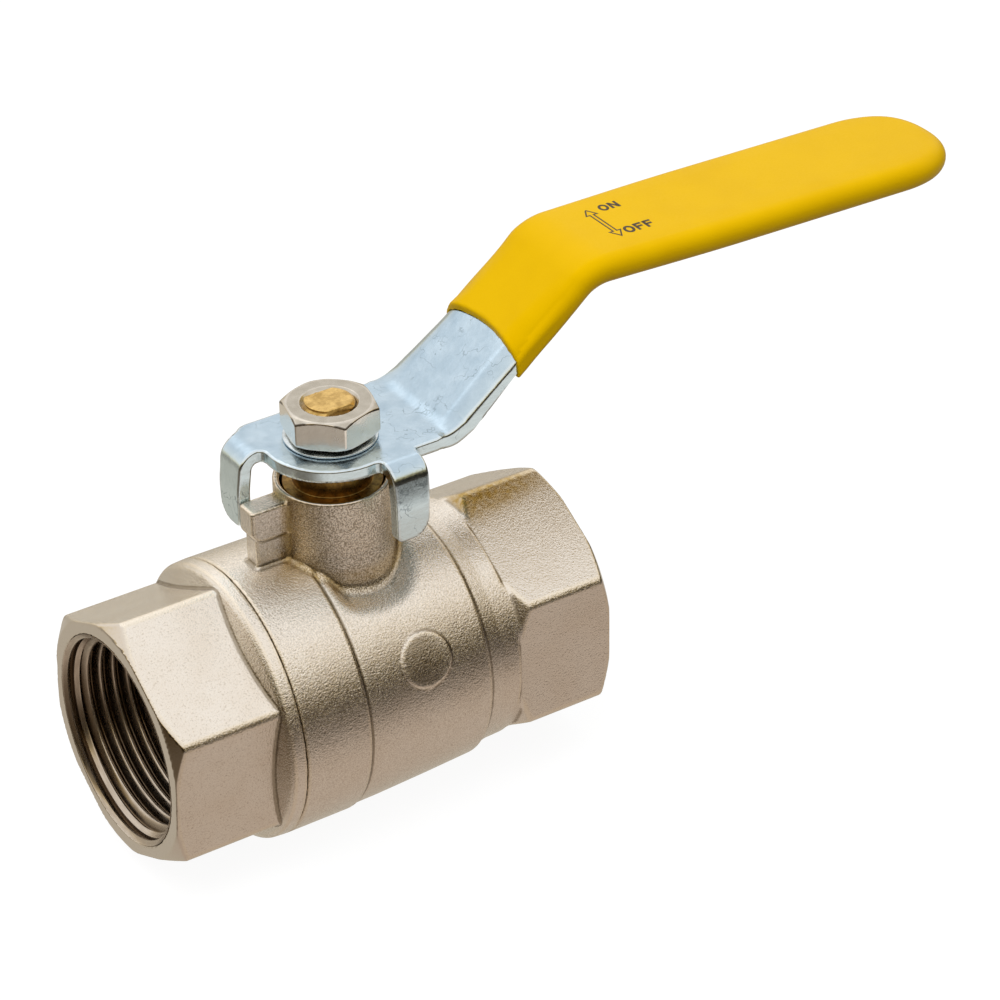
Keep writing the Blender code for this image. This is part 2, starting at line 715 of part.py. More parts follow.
def sleeve_hollow():
    """The arm's shape with room to spare, from before the mouth to just past the arm's end."""
    end = arm_stations()[-1][2]
    bends = stations_between(SLEEVE_MOUTH_ALONG - 2.5, end - 0.5)
    bm = bmesh.new()
    rows = []
    for along in [SLEEVE_MOUTH_ALONG - 3.0] + bends + [end + GAP]:
        station = path_at(along)
        section = arm_section(along, SLEEVE_EDGE_ROOM)
        lift = SHEET / 2.0 + GAP
        upper = [bm.verts.new(place_on_path(station, u, lift - drop)) for u, drop in section]
        lower = [bm.verts.new(place_on_path(station, u, -lift - drop)) for u, drop in section]
        rows.append((upper, lower))
    last = len(rows[0][0]) - 1
    for (upper, lower), (next_upper, next_lower) in zip(rows, rows[1:]):
        for index in range(last):
            bm.faces.new((upper[index], upper[index + 1], next_upper[index + 1], next_upper[index]))
            bm.faces.new((lower[index], lower[index + 1], next_lower[index + 1], next_lower[index]))
        bm.faces.new((upper[0], lower[0], next_lower[0], next_upper[0]))
        bm.faces.new((upper[last], lower[last], next_lower[last], next_upper[last]))
    for upper, lower in (rows[0], rows[-1]):
        for index in range(last):
            bm.faces.new((upper[index], upper[index + 1], lower[index + 1], lower[index]))
    return bm


def make_nut(low, parent, material):
    high = low + NUT_HEIGHT
    blank = [
        (low, 0.0),
        (low, NUT_FACE_R + 0.3),
        (low + 0.4, NUT_CORNER_R),
        (high - 0.6, NUT_CORNER_R),
        (high, NUT_FACE_R),
        (high, 0.0),
    ]
    nut = hex_bar("lever_nut", parent, "Z", NUT_CORNER_R, NUT_TURN, (low - 1.0, high + 1.0), blank)
    nut.data.materials.append(material)
    hole = [
        (low - 1.0, 0.0),
        (low - 1.0, NUT_HOLE_R),
        (high - 0.3, NUT_HOLE_R),
        (high + 0.3, NUT_HOLE_R + 0.6),
        (high + 0.3, 0.0),
    ]
    boolean(nut, add_object("nut_hole", turned(hole, "Z", SMALL_SEGMENTS), parent), "DIFFERENCE")
    return nut


def make_valve():
    clear_scene()
    nickel = make_material("nickel_plate", (0.72, 0.66, 0.58), 0.38, 1.0)
    zinc = make_material("zinc_plate", (0.62, 0.70, 0.76), 0.36, 1.0)
    brass = make_material("brass", (0.80, 0.62, 0.32), 0.3, 1.0)
    chrome = make_material("ball_chrome", (0.82, 0.82, 0.82), 0.12, 1.0)
    spring_steel = make_material("spring_steel", (0.45, 0.46, 0.47), 0.35, 1.0)
    ptfe = make_material("ptfe", (0.92, 0.92, 0.90), 0.5, 0.0)
    rubber = make_material("o_ring_rubber", (0.02, 0.02, 0.02), 0.6, 0.0)
    vinyl = make_material("yellow_vinyl", (0.90, 0.58, 0.0), 0.45, 0.0)

    middle_x = (INLET_X + SLEEVE_TIP_X) / 2.0
    frame = add_empty("valve_frame", None, (-middle_x, 0.0, BODY_R))
    stem_axis = add_empty("stem_axis", frame)

    make_body(frame, nickel)
    make_end_connector(frame, nickel)
    make_seat("seat_outlet", 1.0, frame, ptfe)
    make_seat("seat_inlet", -1.0, frame, ptfe)
    make_gland_nut(frame, brass)
    low = CHAMBER_FLOOR_Z + GAP
    make_ring("packing_lower", STEM_BORE_R, GLAND_THREAD_R, low, low + PACKING_HEIGHT, frame, ptfe)
    low += PACKING_HEIGHT + GAP
    make_ring("packing_upper", STEM_BORE_R, GLAND_THREAD_R, low, low + PACKING_HEIGHT, frame, ptfe)

    make_ball(stem_axis, chrome)
    make_stem(stem_axis, brass)
    low = HEAD_TOP_Z + GAP
    make_ring("thrust_washer", STEM_BORE_R, HEAD_R, low, POCKET_TOP_Z - GAP, stem_axis, ptfe)
    make_o_ring("stem_o_ring_lower", O_RING_HEIGHTS[0], stem_axis, rubber)
    make_o_ring("stem_o_ring_upper", O_RING_HEIGHTS[1], stem_axis, rubber)
    make_lever(stem_axis, zinc)
    make_sleeve(stem_axis, vinyl)
    low = LEVER_MID_Z + SHEET / 2.0 + STACK_GAP
    high = low + WASHER_THICKNESS
    make_ring("spring_washer", WASHER_HOLE_R, WASHER_R, low, high, stem_axis, spring_steel)
    make_nut(high + STACK_GAP, stem_axis, nickel)


make_valve()
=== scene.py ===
"""Looks of the lever ball valve: fine meshes, surface finishes, floor, light and camera.

Shapes are drawn in millimetres about the centre of the ball, +X along the pipe towards the grip and +Z up
the stem, and are moved to the frame's metres when they become objects.
"""
import bpy
import math
import numpy as np
import openvdb
from mathutils import Matrix, Vector


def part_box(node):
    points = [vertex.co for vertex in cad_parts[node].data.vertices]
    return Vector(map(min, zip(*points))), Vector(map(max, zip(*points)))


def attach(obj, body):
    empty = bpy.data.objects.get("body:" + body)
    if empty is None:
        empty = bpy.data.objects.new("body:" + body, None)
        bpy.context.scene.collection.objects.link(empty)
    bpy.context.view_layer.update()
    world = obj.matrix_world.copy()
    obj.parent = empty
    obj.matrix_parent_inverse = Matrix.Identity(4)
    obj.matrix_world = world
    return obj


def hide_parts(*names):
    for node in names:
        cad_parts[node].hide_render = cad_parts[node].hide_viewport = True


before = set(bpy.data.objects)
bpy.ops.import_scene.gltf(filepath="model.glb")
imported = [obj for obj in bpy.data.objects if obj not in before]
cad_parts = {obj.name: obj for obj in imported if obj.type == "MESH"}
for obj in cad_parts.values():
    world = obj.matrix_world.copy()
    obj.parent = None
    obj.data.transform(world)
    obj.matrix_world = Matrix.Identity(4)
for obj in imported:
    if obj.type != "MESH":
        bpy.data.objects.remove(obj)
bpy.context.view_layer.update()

MM = 0.001
VALVE, LEVER, BALL = "valve", "lever_and_stem", "ball"
BALL_R, BALL_BORE_R = 18.5, 12.0
ball_low, ball_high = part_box("ball")
BALL_CENTRE = (ball_low + ball_high) / 2.0
BALL_CENTRE.z = ball_low.z + BALL_R * MM

# Pipe ends, in millimetres.
INLET_X, SEAM_X, OUTLET_X, SEAM_GAP = -40.5, -19.6, 38.9, 0.06
FLANGE_R, WAIST_R = 22.9, 20.3
HEX_R, HEX_FACE_R, HEX_CHAMFER, HEX_EDGE = 22.2, 19.5, 1.75, 0.8
INLET_HEX_TURN, OUTLET_HEX_TURN = math.radians(94.7), math.radians(90.0)
LIP_R, GROOVE_R, THREAD_MINOR_R, PASSAGE_R = 16.5, 17.15, 15.15, 12.5
THREAD_PITCH, THREAD_DEPTH, THREAD_END = 2.309, 1.479, 13.2
GROOVE_START, GROOVE_END, LEAD_IN_END = 0.82, 1.62, 2.35
SOCKET_DEPTH, SOCKET_R, LINER_OUTER_R = 17.0, 17.28, 17.25

# Neck, lug and the plain round pad on the barrel.
NECK_R, NECK_TOP_Z, CHAMBER_R = 9.3, 34.3, 8.2
NECK_FILLET, LUG_FILLET = 1.1, 0.7
VALLEY_DEPTH, VALLEY_R, VALLEY_SLOPE = 1.6, 15.5, 5.5
LUG_X, LUG_TOP_Z, LUG_HALF_WIDTH = -15.6, 33.2, 2.05
PAD_X, PAD_R, PAD_TOP_R, PAD_ANGLE = 3.7, 4.4, 22.42, math.radians(155.3)

# Lever and grip.
SHEET, LEVER_MID_Z = 2.2, 40.0
PLATE_HALF, FRONT_R = 10.4, 10.9
ARM_START = 13.0
ARM_CORNERS = [(ARM_START, LEVER_MID_Z), (15.9, LEVER_MID_Z), (42.5, 60.05), (110.5, 58.65)]
ARM_RADII = (5.0, 9.0)
TAB_ROOT, TAB_OUT, TAB_BEND_R, TAB_LOW_Z = 11.8, 14.4, 2.6, 28.5
TAB_NEAR, TAB_FAR = 2.2, 8.6
MOUTH_RUN, SLEEVE_TIP_X, SLEEVE_HALF = 18.3, 115.9, 2.38

# Stem and nut.
STEM_R, STEM_THREAD_R, STEM_FLAT_Y, STEM_TOP_Z = 5.0, 4.0, 3.0, 47.4
NUT_LOW_Z, NUT_HEIGHT, NUT_CORNER_R = 42.2, 4.9, 7.9
NUT_TURN, NUT_EDGE, NUT_FACE_R = math.radians(17.0), 0.18, 6.75
SMALL_PITCH, SMALL_DEPTH = 1.25, 0.6

VOXEL, FINE_VOXEL = 0.4, 0.16
COARSE = 1.0


# Distance fields.

def join(a, b, radius):
    """Joins two solids with a fillet."""
    inner = np.sqrt(np.maximum(radius - a, 0.0) ** 2 + np.maximum(radius - b, 0.0) ** 2)
    return np.maximum(radius, np.minimum(a, b)) - inner


def meet(a, b, radius):
    """Keeps what two solids share, with a rounded edge."""
    outer = np.sqrt(np.maximum(radius + a, 0.0) ** 2 + np.maximum(radius + b, 0.0) ** 2)
    return np.minimum(-radius, np.maximum(a, b)) + outer


def ease(value):
    """0 below 0, 1 above 1, and an even slope between them."""
    value = np.clip(value, 0.0, 1.0)
    return value * value * (3.0 - 2.0 * value)


def arc_points(centre, radius, start, end, steps):
    """Points along an arc between two angles."""
    angles = [start + (end - start) * step / steps for step in range(steps + 1)]
    return [(centre[0] + radius * math.cos(a), centre[1] + radius * math.sin(a)) for a in angles]


def rounded_outline(points, closed=True, steps=6):
    """Replaces each (u, v, radius) corner by an arc; a corner given as (u, v) stays sharp."""
    outline = []
    count = len(points)
    for index, point in enumerate(points):
        u, v, radius = (*point, 0.0)[:3]
        if radius <= 0.0 or (not closed and index in (0, count - 1)):
            outline.append((u, v))
            continue
        corner = Vector((u, v))
        before = (Vector(points[index - 1][:2]) - corner).normalized()
        after = (Vector(points[(index + 1) % count][:2]) - corner).normalized()
        half = before.angle(after) / 2.0
        reach = radius / math.tan(half)
        middle = corner + (before + after).normalized() * (radius / math.sin(half))
        start, end = corner + before * reach - middle, corner + after * reach - middle
        first = math.atan2(start.y, start.x)
        turn = (math.atan2(end.y, end.x) - first + math.pi) % (math.tau) - math.pi
        outline += arc_points(middle, radius, first, first + turn, steps)
    return outline


def fine_line(points, step=0.4):
    """The same line with points no more than step apart."""
    line = [points[0]]
    for (u0, v0), (u1, v1) in zip(points, points[1:]):
        count = max(1, math.ceil(math.hypot(u1 - u0, v1 - v0) / step))
        line += [(u0 + (u1 - u0) * k / count, v0 + (v1 - v0) * k / count) for k in range(1, count + 1)]
    return line


def outline_distance(outline, u, v):
    """Signed distance to a closed outline, negative inside."""
    nearest = np.full(u.shape, 1e9)
    inside = np.zeros(u.shape, bool)
    for (u0, v0), (u1, v1) in zip(outline, outline[1:] + outline[:1]):
        du, dv = u1 - u0, v1 - v0
        share = np.clip(((u - u0) * du + (v - v0) * dv) / (du * du + dv * dv), 0.0, 1.0)
        nearest = np.minimum(nearest, (u - u0 - du * share) ** 2 + (v - v0 - dv * share) ** 2)
        if dv:
            inside ^= ((v0 > v) != (v1 > v)) & (u < u0 + du * (v - v0) / dv)
    return np.where(inside, -1.0, 1.0) * np.sqrt(nearest)


class Profile:
    """A turned shape's distance field, kept as a table over (along, radius)."""
    STEP = 0.08
    MARGIN = 3.0
    DEEP = -30.0

    def __init__(self, corners):
        outline = rounded_outline(corners, closed=False)
        outline += [(outline[-1][0], self.DEEP), (outline[0][0], self.DEEP)]
        self.low = min(u for u, v in outline) - self.MARGIN
        self.high = max(u for u, v in outline) + self.MARGIN
        self.reach = max(v for u, v in outline) + self.MARGIN
        u = np.arange(self.low, self.high + self.STEP, self.STEP)
        v = np.arange(-self.STEP, self.reach + self.STEP, self.STEP)
        self.table = outline_distance(outline, *np.meshgrid(u, v, indexing="ij"))

    def __call__(self, along, radius):
        u = np.clip((along - self.low) / self.STEP, 0.0, self.table.shape[0] - 1.001)
        v = np.clip(radius / self.STEP + 1.0, 0.0, self.table.shape[1] - 1.001)
        i, j = u.astype(int), v.astype(int)
        u, v = u - i, v - j
        low = self.table[i, j] * (1.0 - v) + self.table[i, j + 1] * v
        high = self.table[i + 1, j] * (1.0 - v) + self.table[i + 1, j + 1] * v
        return low * (1.0 - u) + high * u


def hexagon(u, v, corner_r, turn, edge):
    """Distance to a hexagonal bar whose edges are slightly rounded."""
    flat = corner_r * math.cos(math.pi / 6.0)
    sides = []
    for index in range(3):
        angle = turn + math.pi / 6.0 + index * math.pi / 3.0
        sides.append(np.abs(u * math.cos(angle) + v * math.sin(angle)) - flat)
    return meet(meet(sides[0], sides[1], edge), sides[2], edge)


def thread_wave(phase, depth):
    """Whitworth-like thread: 0 at the minor radius and depth at the major, with rounded crest and root."""
    ramp = np.abs((phase % 1.0) * 2.0 - 1.0)
    height = (ramp - 0.5) * 1.5 + 0.5
    soft = 0.12
    low = np.log1p(np.exp(np.clip(height / soft, -40, 40))) * soft
    top = 1.0 - np.log1p(np.exp(np.clip((1.0 - low) / soft, -40, 40))) * soft
    return np.clip(top, 0.0, 1.0) * depth


# Meshes.

def gradient(field, points, step):
    """The field's slope at each point."""
    columns = [field(*(points + shift).T) - field(*(points - shift).T) for shift in np.eye(3) * step]
    return np.stack(columns, axis=1) / (2.0 * step)


def sampled(field, axes, voxel):
    """The field on a grid: exact near the surface, and only its side of the surface elsewhere."""
    block = 6
    starts = [axis[block // 2::block] if len(axis) % block == 0 else
              np.append(axis[block // 2::block], axis[-1])[:-(-len(axis) // block)] for axis in axes]
    rough = field(*[part.ravel() for part in np.meshgrid(*starts, indexing="ij")])
    rough = rough.reshape([len(part) for part in starts])
    for level, axis in enumerate(axes):
        rough = np.repeat(rough, block, axis=level).take(np.arange(len(axis)), axis=level)
    near = np.nonzero(np.abs(rough) < voxel * block * 1.3)
    values = np.sign(rough).astype(np.float32) * 3.0
    values[near] = field(axes[0][near[0]], axes[1][near[1]], axes[2][near[2]])
    return values


def surface_of(field, low, high, voxel):
    """Vertices, faces and normals of a field's zero surface, with every vertex pulled onto it."""
    voxel *= COARSE
    axes = [np.arange(a - 2 * voxel, b + 2 * voxel, voxel) for a, b in zip(low, high)]
    values = sampled(field, axes, voxel)
    grid = openvdb.FloatGrid()
    grid.copyFromArray(values)
    points, quads = grid.convertToQuads(isovalue=0.0)
    points = points.astype(float) * voxel + np.array([axis[0] for axis in axes])
    step = voxel * 0.15
    for _ in range(4):
        slope = gradient(field, points, step)
        size = np.maximum((slope ** 2).sum(1), 0.05)
        move = -slope * (field(*points.T) / size)[:, None]
        length = np.linalg.norm(move, axis=1)
        points += move * np.minimum(1.0, 0.5 * voxel / np.maximum(length, 1e-9))[:, None]
    normals = gradient(field, points, step)
    normals /= np.maximum(np.linalg.norm(normals, axis=1), 1e-9)[:, None]
    corner = points[quads[:, :3]]
    facing = np.cross(corner[:, 1] - corner[:, 0], corner[:, 2] - corner[:, 0])
    if (facing * normals[quads[:, 0]]).sum() < 0.0:
        quads = quads[:, ::-1]
    return points, quads, normals


def add_object(name, data):
    """Puts an object into the scene."""
    obj = bpy.data.objects.new(name, data)
    bpy.context.scene.collection.objects.link(obj)
    return obj


def add_piece(name, points, faces, material, body, nodes=(), normals=None):
    """Makes a mesh drawn in millimetres about the ball's centre into a piece of the model."""
    mesh = bpy.data.meshes.new(name)
    placed = np.asarray(points) * MM + np.array(BALL_CENTRE)
    mesh.from_pydata(placed.tolist(), [], [list(map(int, face)) for face in faces])
    mesh.validate()
    mesh.shade_smooth()
    if normals is None:
        mesh.set_sharp_from_angle(angle=math.radians(40.0))
    else:
        mesh.normals_split_custom_set_from_vertices(normals.tolist())
    mesh.materials.append(material)
    obj = add_object(name, mesh)
    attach(obj, body)
    if nodes:
        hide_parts(*nodes)
    return obj


def add_surface(name, field, low, high, voxel, material, body, node):
    """Makes a field's surface the piece that stands for a CAD node; returns the piece and its points."""
    points, quads, normals = surface_of(field, low, high, voxel)
    return add_piece(name, points, quads, material, body, (node,), normals), points


def add_bent(name, field, low, high, material, node):
    """As add_surface, for a shape drawn flat and bent like the lever; its points are the flat ones."""
    flat, quads, normals = surface_of(field, low, high, VOXEL)
    points, normals = bend_surface(flat, normals, bend_lever)
    return add_piece(name, points, quads, material, LEVER, (node,), normals), flat


def turned_mesh(corners, axis, segments=160):
    """Turns a closed outline of (along, radius, rounding) corners about the X or Z axis."""
    outline = rounded_outline(corners)
    angles = np.arange(segments) * math.tau / segments
    rings = []
    for along, radius in outline:
        side, rise = radius * np.cos(angles), radius * np.sin(angles)
        level = np.full(segments, along)
        rings.append(np.stack((level, side, rise) if axis == "X" else (side, rise, level), axis=1))
    points = np.concatenate(rings)
    return points, ring_faces(points, len(outline), segments)


def ring_faces(points, rings, segments):
    """Joins rings of points into a closed tube section whose faces look outwards."""
    ring, step = np.divmod(np.arange(rings * segments), segments)
    after, around = (ring + 1) % rings, (step + 1) % segments
    faces = np.stack((ring * segments + step, ring * segments + around,
                      after * segments + around, after * segments + step), axis=1)
    corner = points[faces]
    area = np.cross(corner[:, 2] - corner[:, 0], corner[:, 3] - corner[:, 1])
    volume = (corner.mean(axis=1) * area).sum()
    return faces if volume > 0.0 else faces[:, ::-1]


# Body and end connector.

def body_field():
    """Forged body: barrel with its ring lines, waist, outlet hexagon, neck, stop lug and round pad."""
    shell = Profile([
        (SEAM_X + SEAM_GAP, 8.0), (SEAM_X + SEAM_GAP, FLANGE_R, 0.25), (-8.2, FLANGE_R - 0.05, 0.5),
        (-7.7, 22.3, 0.35), (-7.2, 22.5, 0.4), (-3.0, 22.42), (6.0, 22.05), (14.7, 21.6, 0.5),
        (15.3, 20.95, 0.4),
        (18.0, WAIST_R + 0.15, 3.0), (22.0, WAIST_R, 0.8), (23.8, HEX_R + 0.1, 0.4),
        (OUTLET_X - HEX_CHAMFER, HEX_R + 0.1, 0.15), (OUTLET_X, HEX_FACE_R, 0.35), (OUTLET_X, 8.0),
    ])
    neck = Profile([(16.0, NECK_R + 0.6), (25.0, NECK_R), (NECK_TOP_Z, NECK_R, 0.45), (NECK_TOP_Z, 4.0)])
    hollow = Profile([
        (SEAM_X - 3.0, 20.15), (-9.0, 20.15), (-9.0, 19.7), (9.3, 19.7), (9.3, 17.3),
        (15.7, 17.3), (15.7, PASSAGE_R, 0.3), (OUTLET_X - SOCKET_DEPTH, PASSAGE_R, 0.3),
        (OUTLET_X - SOCKET_DEPTH, SOCKET_R), (OUTLET_X + 3.0, SOCKET_R),
    ])
    stem_way = Profile([
        (14.0, 7.1), (22.5, 7.1), (22.5, 5.3), (27.6, 5.3), (27.6, CHAMBER_R),
        (NECK_TOP_Z - 0.6, CHAMBER_R, 0.2), (NECK_TOP_Z + 0.2, CHAMBER_R + 0.7, 0.2),
        (NECK_TOP_Z + 3.0, CHAMBER_R + 0.7),
    ])
    pad_y, pad_z = math.cos(PAD_ANGLE), math.sin(PAD_ANGLE)

    def field(x, y, z):
        around = np.hypot(y, z)
        level = np.hypot(x, y)
        valley = VALLEY_DEPTH * ease((VALLEY_R - level) / VALLEY_SLOPE) * ease(z / 6.0)
        valley *= ease((x + 7.0) / 3.0) * ease((10.5 - x) / 7.0)
        blank = shell(x, around) + valley
        flats = hexagon(y, z, HEX_R, OUTLET_HEX_TURN, HEX_EDGE)
        flats = join(flats, x - 21.3, 0.35)
        solid = meet(blank, flats, 0.35)
        solid = join(solid, neck(z, level), NECK_FILLET)
        solid = join(solid, lug_distance(x, y, z), LUG_FILLET)
        offset = np.hypot(x - PAD_X, y * pad_z - z * pad_y)
        pad = meet(offset - PAD_R, around - PAD_TOP_R, 0.25)
        pad = np.maximum(pad, -(y * pad_y + z * pad_z))
        solid = join(solid, pad, 0.35)
        solid = meet(solid, -hollow(x, around), 0.2)
        return meet(solid, -stem_way(z, level), 0.2)

    return field


def lug_distance(x, y, z):
    """Stop lug: an upper block with a bevelled lower corner, over a foot set in from it on every side."""
    upper = meet(LUG_X - x, z - LUG_TOP_Z, 0.6)
    upper = meet(upper, 27.6 - z, 0.7)
    upper = meet(upper, (-(x - LUG_X) * 0.7 - (z - 28.6)) * 0.8, 0.5)
    upper = meet(upper, np.abs(y) - LUG_HALF_WIDTH, 0.45)
    foot = meet(LUG_X + 0.75 - x, z - 30.0, 0.3)
    foot = meet(foot, np.abs(y) - LUG_HALF_WIDTH + 0.4, 0.3)
    block = join(upper, foot, 0.15)
    block = meet(block, x + 5.0, 0.1)
    return meet(block, 19.0 - z, 0.1)


def connector_field():
    """End connector: flange ring, inlet hexagon, socket and the spigot that goes into the body."""
    flange = Profile([
        (-26.0, 8.0), (-23.7, 18.8, 0.3), (-22.3, 22.1, 0.5), (-21.7, FLANGE_R - 0.15, 0.6),
        (SEAM_X - SEAM_GAP, FLANGE_R, 0.25), (SEAM_X - SEAM_GAP, 8.0),
    ])
    spigot = Profile([(-21.5, 19.95), (-9.6, 19.95, 0.4), (-9.6, 4.0)])
    blank = Profile([
        (INLET_X, 8.0), (INLET_X, HEX_FACE_R, 0.35), (INLET_X + HEX_CHAMFER, HEX_R + 0.1, 0.15),
        (-20.5, 22.3), (-20.5, 8.0),
    ])
    hollow = Profile([
        (INLET_X - 3.0, SOCKET_R), (INLET_X + SOCKET_DEPTH, SOCKET_R),
        (INLET_X + SOCKET_DEPTH, PASSAGE_R, 0.3),
        (-15.7, PASSAGE_R, 0.3), (-15.7, 17.3), (-5.0, 17.3),
    ])

    def field(x, y, z):
        around = np.hypot(y, z)
        bar = hexagon(y, z, HEX_R, INLET_HEX_TURN, HEX_EDGE)
        bar = meet(bar, blank(x, around), 0.35)
        solid = join(bar, flange(x, around), 0.25)
        solid = np.minimum(solid, spigot(x, around))
        return meet(solid, -hollow(x, around), 0.2)

    return field


def thread_liner(face_x, inward):
    """The wall of a pipe socket: a closed sleeve with a lip, a groove and then the helical thread."""
    around_steps, along_steps = ((240, 180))
    lip = ((0.02, 17.2), (0.12, 17.12), (0.5, LIP_R), (0.75, LIP_R), (GROOVE_START, GROOVE_R),
           (GROOVE_END, GROOVE_R), (1.7, LIP_R + 0.05))
    start, end = lip[-1][0], SOCKET_DEPTH - 0.05
    depth_in = np.concatenate([[place for place, _ in lip[:-1]], np.linspace(start, end, along_steps)])
    angle = np.arange(around_steps) * math.tau / around_steps
    inside, turn = np.meshgrid(depth_in, angle, indexing="ij")
    wave = thread_wave(inside / THREAD_PITCH + inward * turn / (math.tau), THREAD_DEPTH)
    runout = ease((inside - THREAD_END) / 1.2)
    radius = THREAD_MINOR_R + wave * (1.0 - runout)
    lead_in = lip[-1][1] - (inside - start) * 0.75
    radius = lead_in + (radius - lead_in) * ease((inside - LEAD_IN_END) / 0.2)
    radius = np.where(inside < start, np.interp(inside, *zip(*lip)), radius)
    x = face_x + inward * inside
    inner = np.stack((x, radius * np.cos(turn), radius * np.sin(turn)), axis=-1).reshape(-1, 3)
    outer = []
    for level in (depth_in[-1], depth_in[0]):
        ring_x = np.full(around_steps, face_x + inward * level)
        outer.append(np.stack((ring_x, LINER_OUTER_R * np.cos(angle), LINER_OUTER_R * np.sin(angle)), axis=1))
    points = np.concatenate([inner] + outer)
    return points, ring_faces(points, len(depth_in) + 2, around_steps)


# Lever and grip, drawn flat and then bent.

class Bend:
    """A line of straight runs and arcs that a flat sheet is bent along."""
    STEP = 0.05

    def __init__(self, corners, radii):
        outline = [(*corner, r) for corner, r in zip(corners, (0.0, *radii, 0.0))]
        line = np.array(fine_line(rounded_outline(outline, closed=False, steps=40), 0.2))
        pieces = np.diff(line, axis=0)
        length = np.hypot(*pieces.T)
        middle = np.concatenate([[0.0], np.cumsum(length)])
        self.run = np.arange(-200.0, middle[-1] + 60.0, self.STEP)
        heading = np.arctan2(pieces[:, 1], pieces[:, 0])
        centre = (middle[1:] + middle[:-1]) / 2.0
        self.heading = np.interp(self.run, centre, heading)
        u = np.cumsum(np.cos(self.heading)) * self.STEP
        v = np.cumsum(np.sin(self.heading)) * self.STEP
        start = np.interp(0.0, self.run, np.arange(len(self.run)))
        self.u = u - np.interp(start, np.arange(len(u)), u) + corners[0][0]
        self.v = v - np.interp(start, np.arange(len(v)), v) + corners[0][1]
        self.length = middle[-1]

    def __call__(self, run, lift):
        heading = np.interp(run, self.run, self.heading)
        u = np.interp(run, self.run, self.u) - lift * np.sin(heading)
        v = np.interp(run, self.run, self.v) + lift * np.cos(heading)
        return u, v


arm_bend = Bend(ARM_CORNERS, ARM_RADII)
TAB_CORNERS = [(TAB_ROOT - 1.0, LEVER_MID_Z), (TAB_OUT - 0.75, LEVER_MID_Z), (TAB_OUT - 0.05, 34.5),
               (TAB_OUT, TAB_LOW_Z)]
tab_bend = Bend(TAB_CORNERS, (TAB_BEND_R - 0.4, 14.0))
TAB_LENGTH = tab_bend.length - 1.0
ARM_LENGTH = arm_bend.length


def edge_drop(run, across):
    """How far the arm's surface falls towards its edges, and how much thicker or thinner it gets there."""
    strip = 3.6
    near_edge = np.clip((np.abs(across) - arm_half_width(run + ARM_START) + strip) / strip, 0.0, 1.0) ** 2
    fall = np.interp(run, (0.5, 3.0, 6.0, MOUTH_RUN, 34.0), (0.0, 0.8, 1.5, 1.4, 0.15))
    swell = np.interp(run, (0.0, 3.0, 7.0, 12.0, 17.0, 22.0, 34.0), (0.0, 0.28, 0.22, 0.0, -0.2, -0.2, 0.0))
    return fall * near_edge, 1.0 + swell * near_edge


def arm_shift(run):
    """The arm leans a little to its left between the plate and the grip."""
    return 0.75 * ease((run + 1.0) / 5.0) * ease((32.0 - run) / 14.0)


def bend_lever(points):
    """Takes points of the flat lever (u along the arm, v across, w up) to their place on the bent one."""
    u, v, w = points.T
    x, y, z = u.copy(), v.copy(), w + LEVER_MID_Z
    arm = u > ARM_START
    run = u[arm] - ARM_START
    fall, swell = edge_drop(run, v[arm])
    x[arm], z[arm] = arm_bend(run, w[arm] * swell - fall)
    y[arm] += arm_shift(run)
    left = (u < -TAB_ROOT + 1.0) & (v > 0.0)
    out, z[left] = tab_bend(-u[left] - TAB_ROOT + 1.0, w[left])
    x[left] = -out
    right = (v < -TAB_ROOT + 1.0) & (u < 9.0)
    out, z[right] = tab_bend(-v[right] - TAB_ROOT + 1.0, w[right])
    y[right] = -out
    return np.stack((x, y, z), axis=1)


def bend_surface(points, normals, bend):
    """Bends points, and turns their normals by the bend's local slope."""
    step = 0.02
    slopes = [(bend(points + shift) - bend(points - shift)) / (2.0 * step) for shift in np.eye(3) * step]
    turned = np.linalg.solve(np.stack(slopes, axis=1), normals[:, :, None])[:, :, 0]
    turned /= np.maximum(np.linalg.norm(turned, axis=1), 1e-9)[:, None]
    return bend(points), turned


def sheet_field(outline, w, half_thickness, edge):
    """A flat sheet of the given outline field, with its edges rounded."""
    beside = outline + edge
    above = np.abs(w) - (half_thickness - edge)
    outside = np.sqrt(np.maximum(beside, 0.0) ** 2 + np.maximum(above, 0.0) ** 2)
    return outside + np.minimum(np.maximum(beside, above), 0.0) - edge


def box_field(u, v, low_u, high_u, low_v, high_v, corner):
    """A rectangle with rounded corners."""
    du = np.abs(u - (low_u + high_u) / 2.0) - (high_u - low_u) / 2.0 + corner
    dv = np.abs(v - (low_v + high_v) / 2.0) - (high_v - low_v) / 2.0 + corner
    return np.hypot(np.maximum(du, 0.0), np.maximum(dv, 0.0)) + np.minimum(np.maximum(du, dv), 0.0) - corner


def arm_half_width(u):
    """The arm narrows behind the plate, and once more inside the grip."""
    half = PLATE_HALF - 0.6 * ease((u - 15.0) / 16.0)
    return half - 0.6 * ease((u - 31.0) / 5.0)


def arm_outline(u, v):
    """The flat arm, which ends inside the grip."""
    return meet(np.abs(v) - arm_half_width(u), u - (ARM_START + ARM_LENGTH), 4.0)


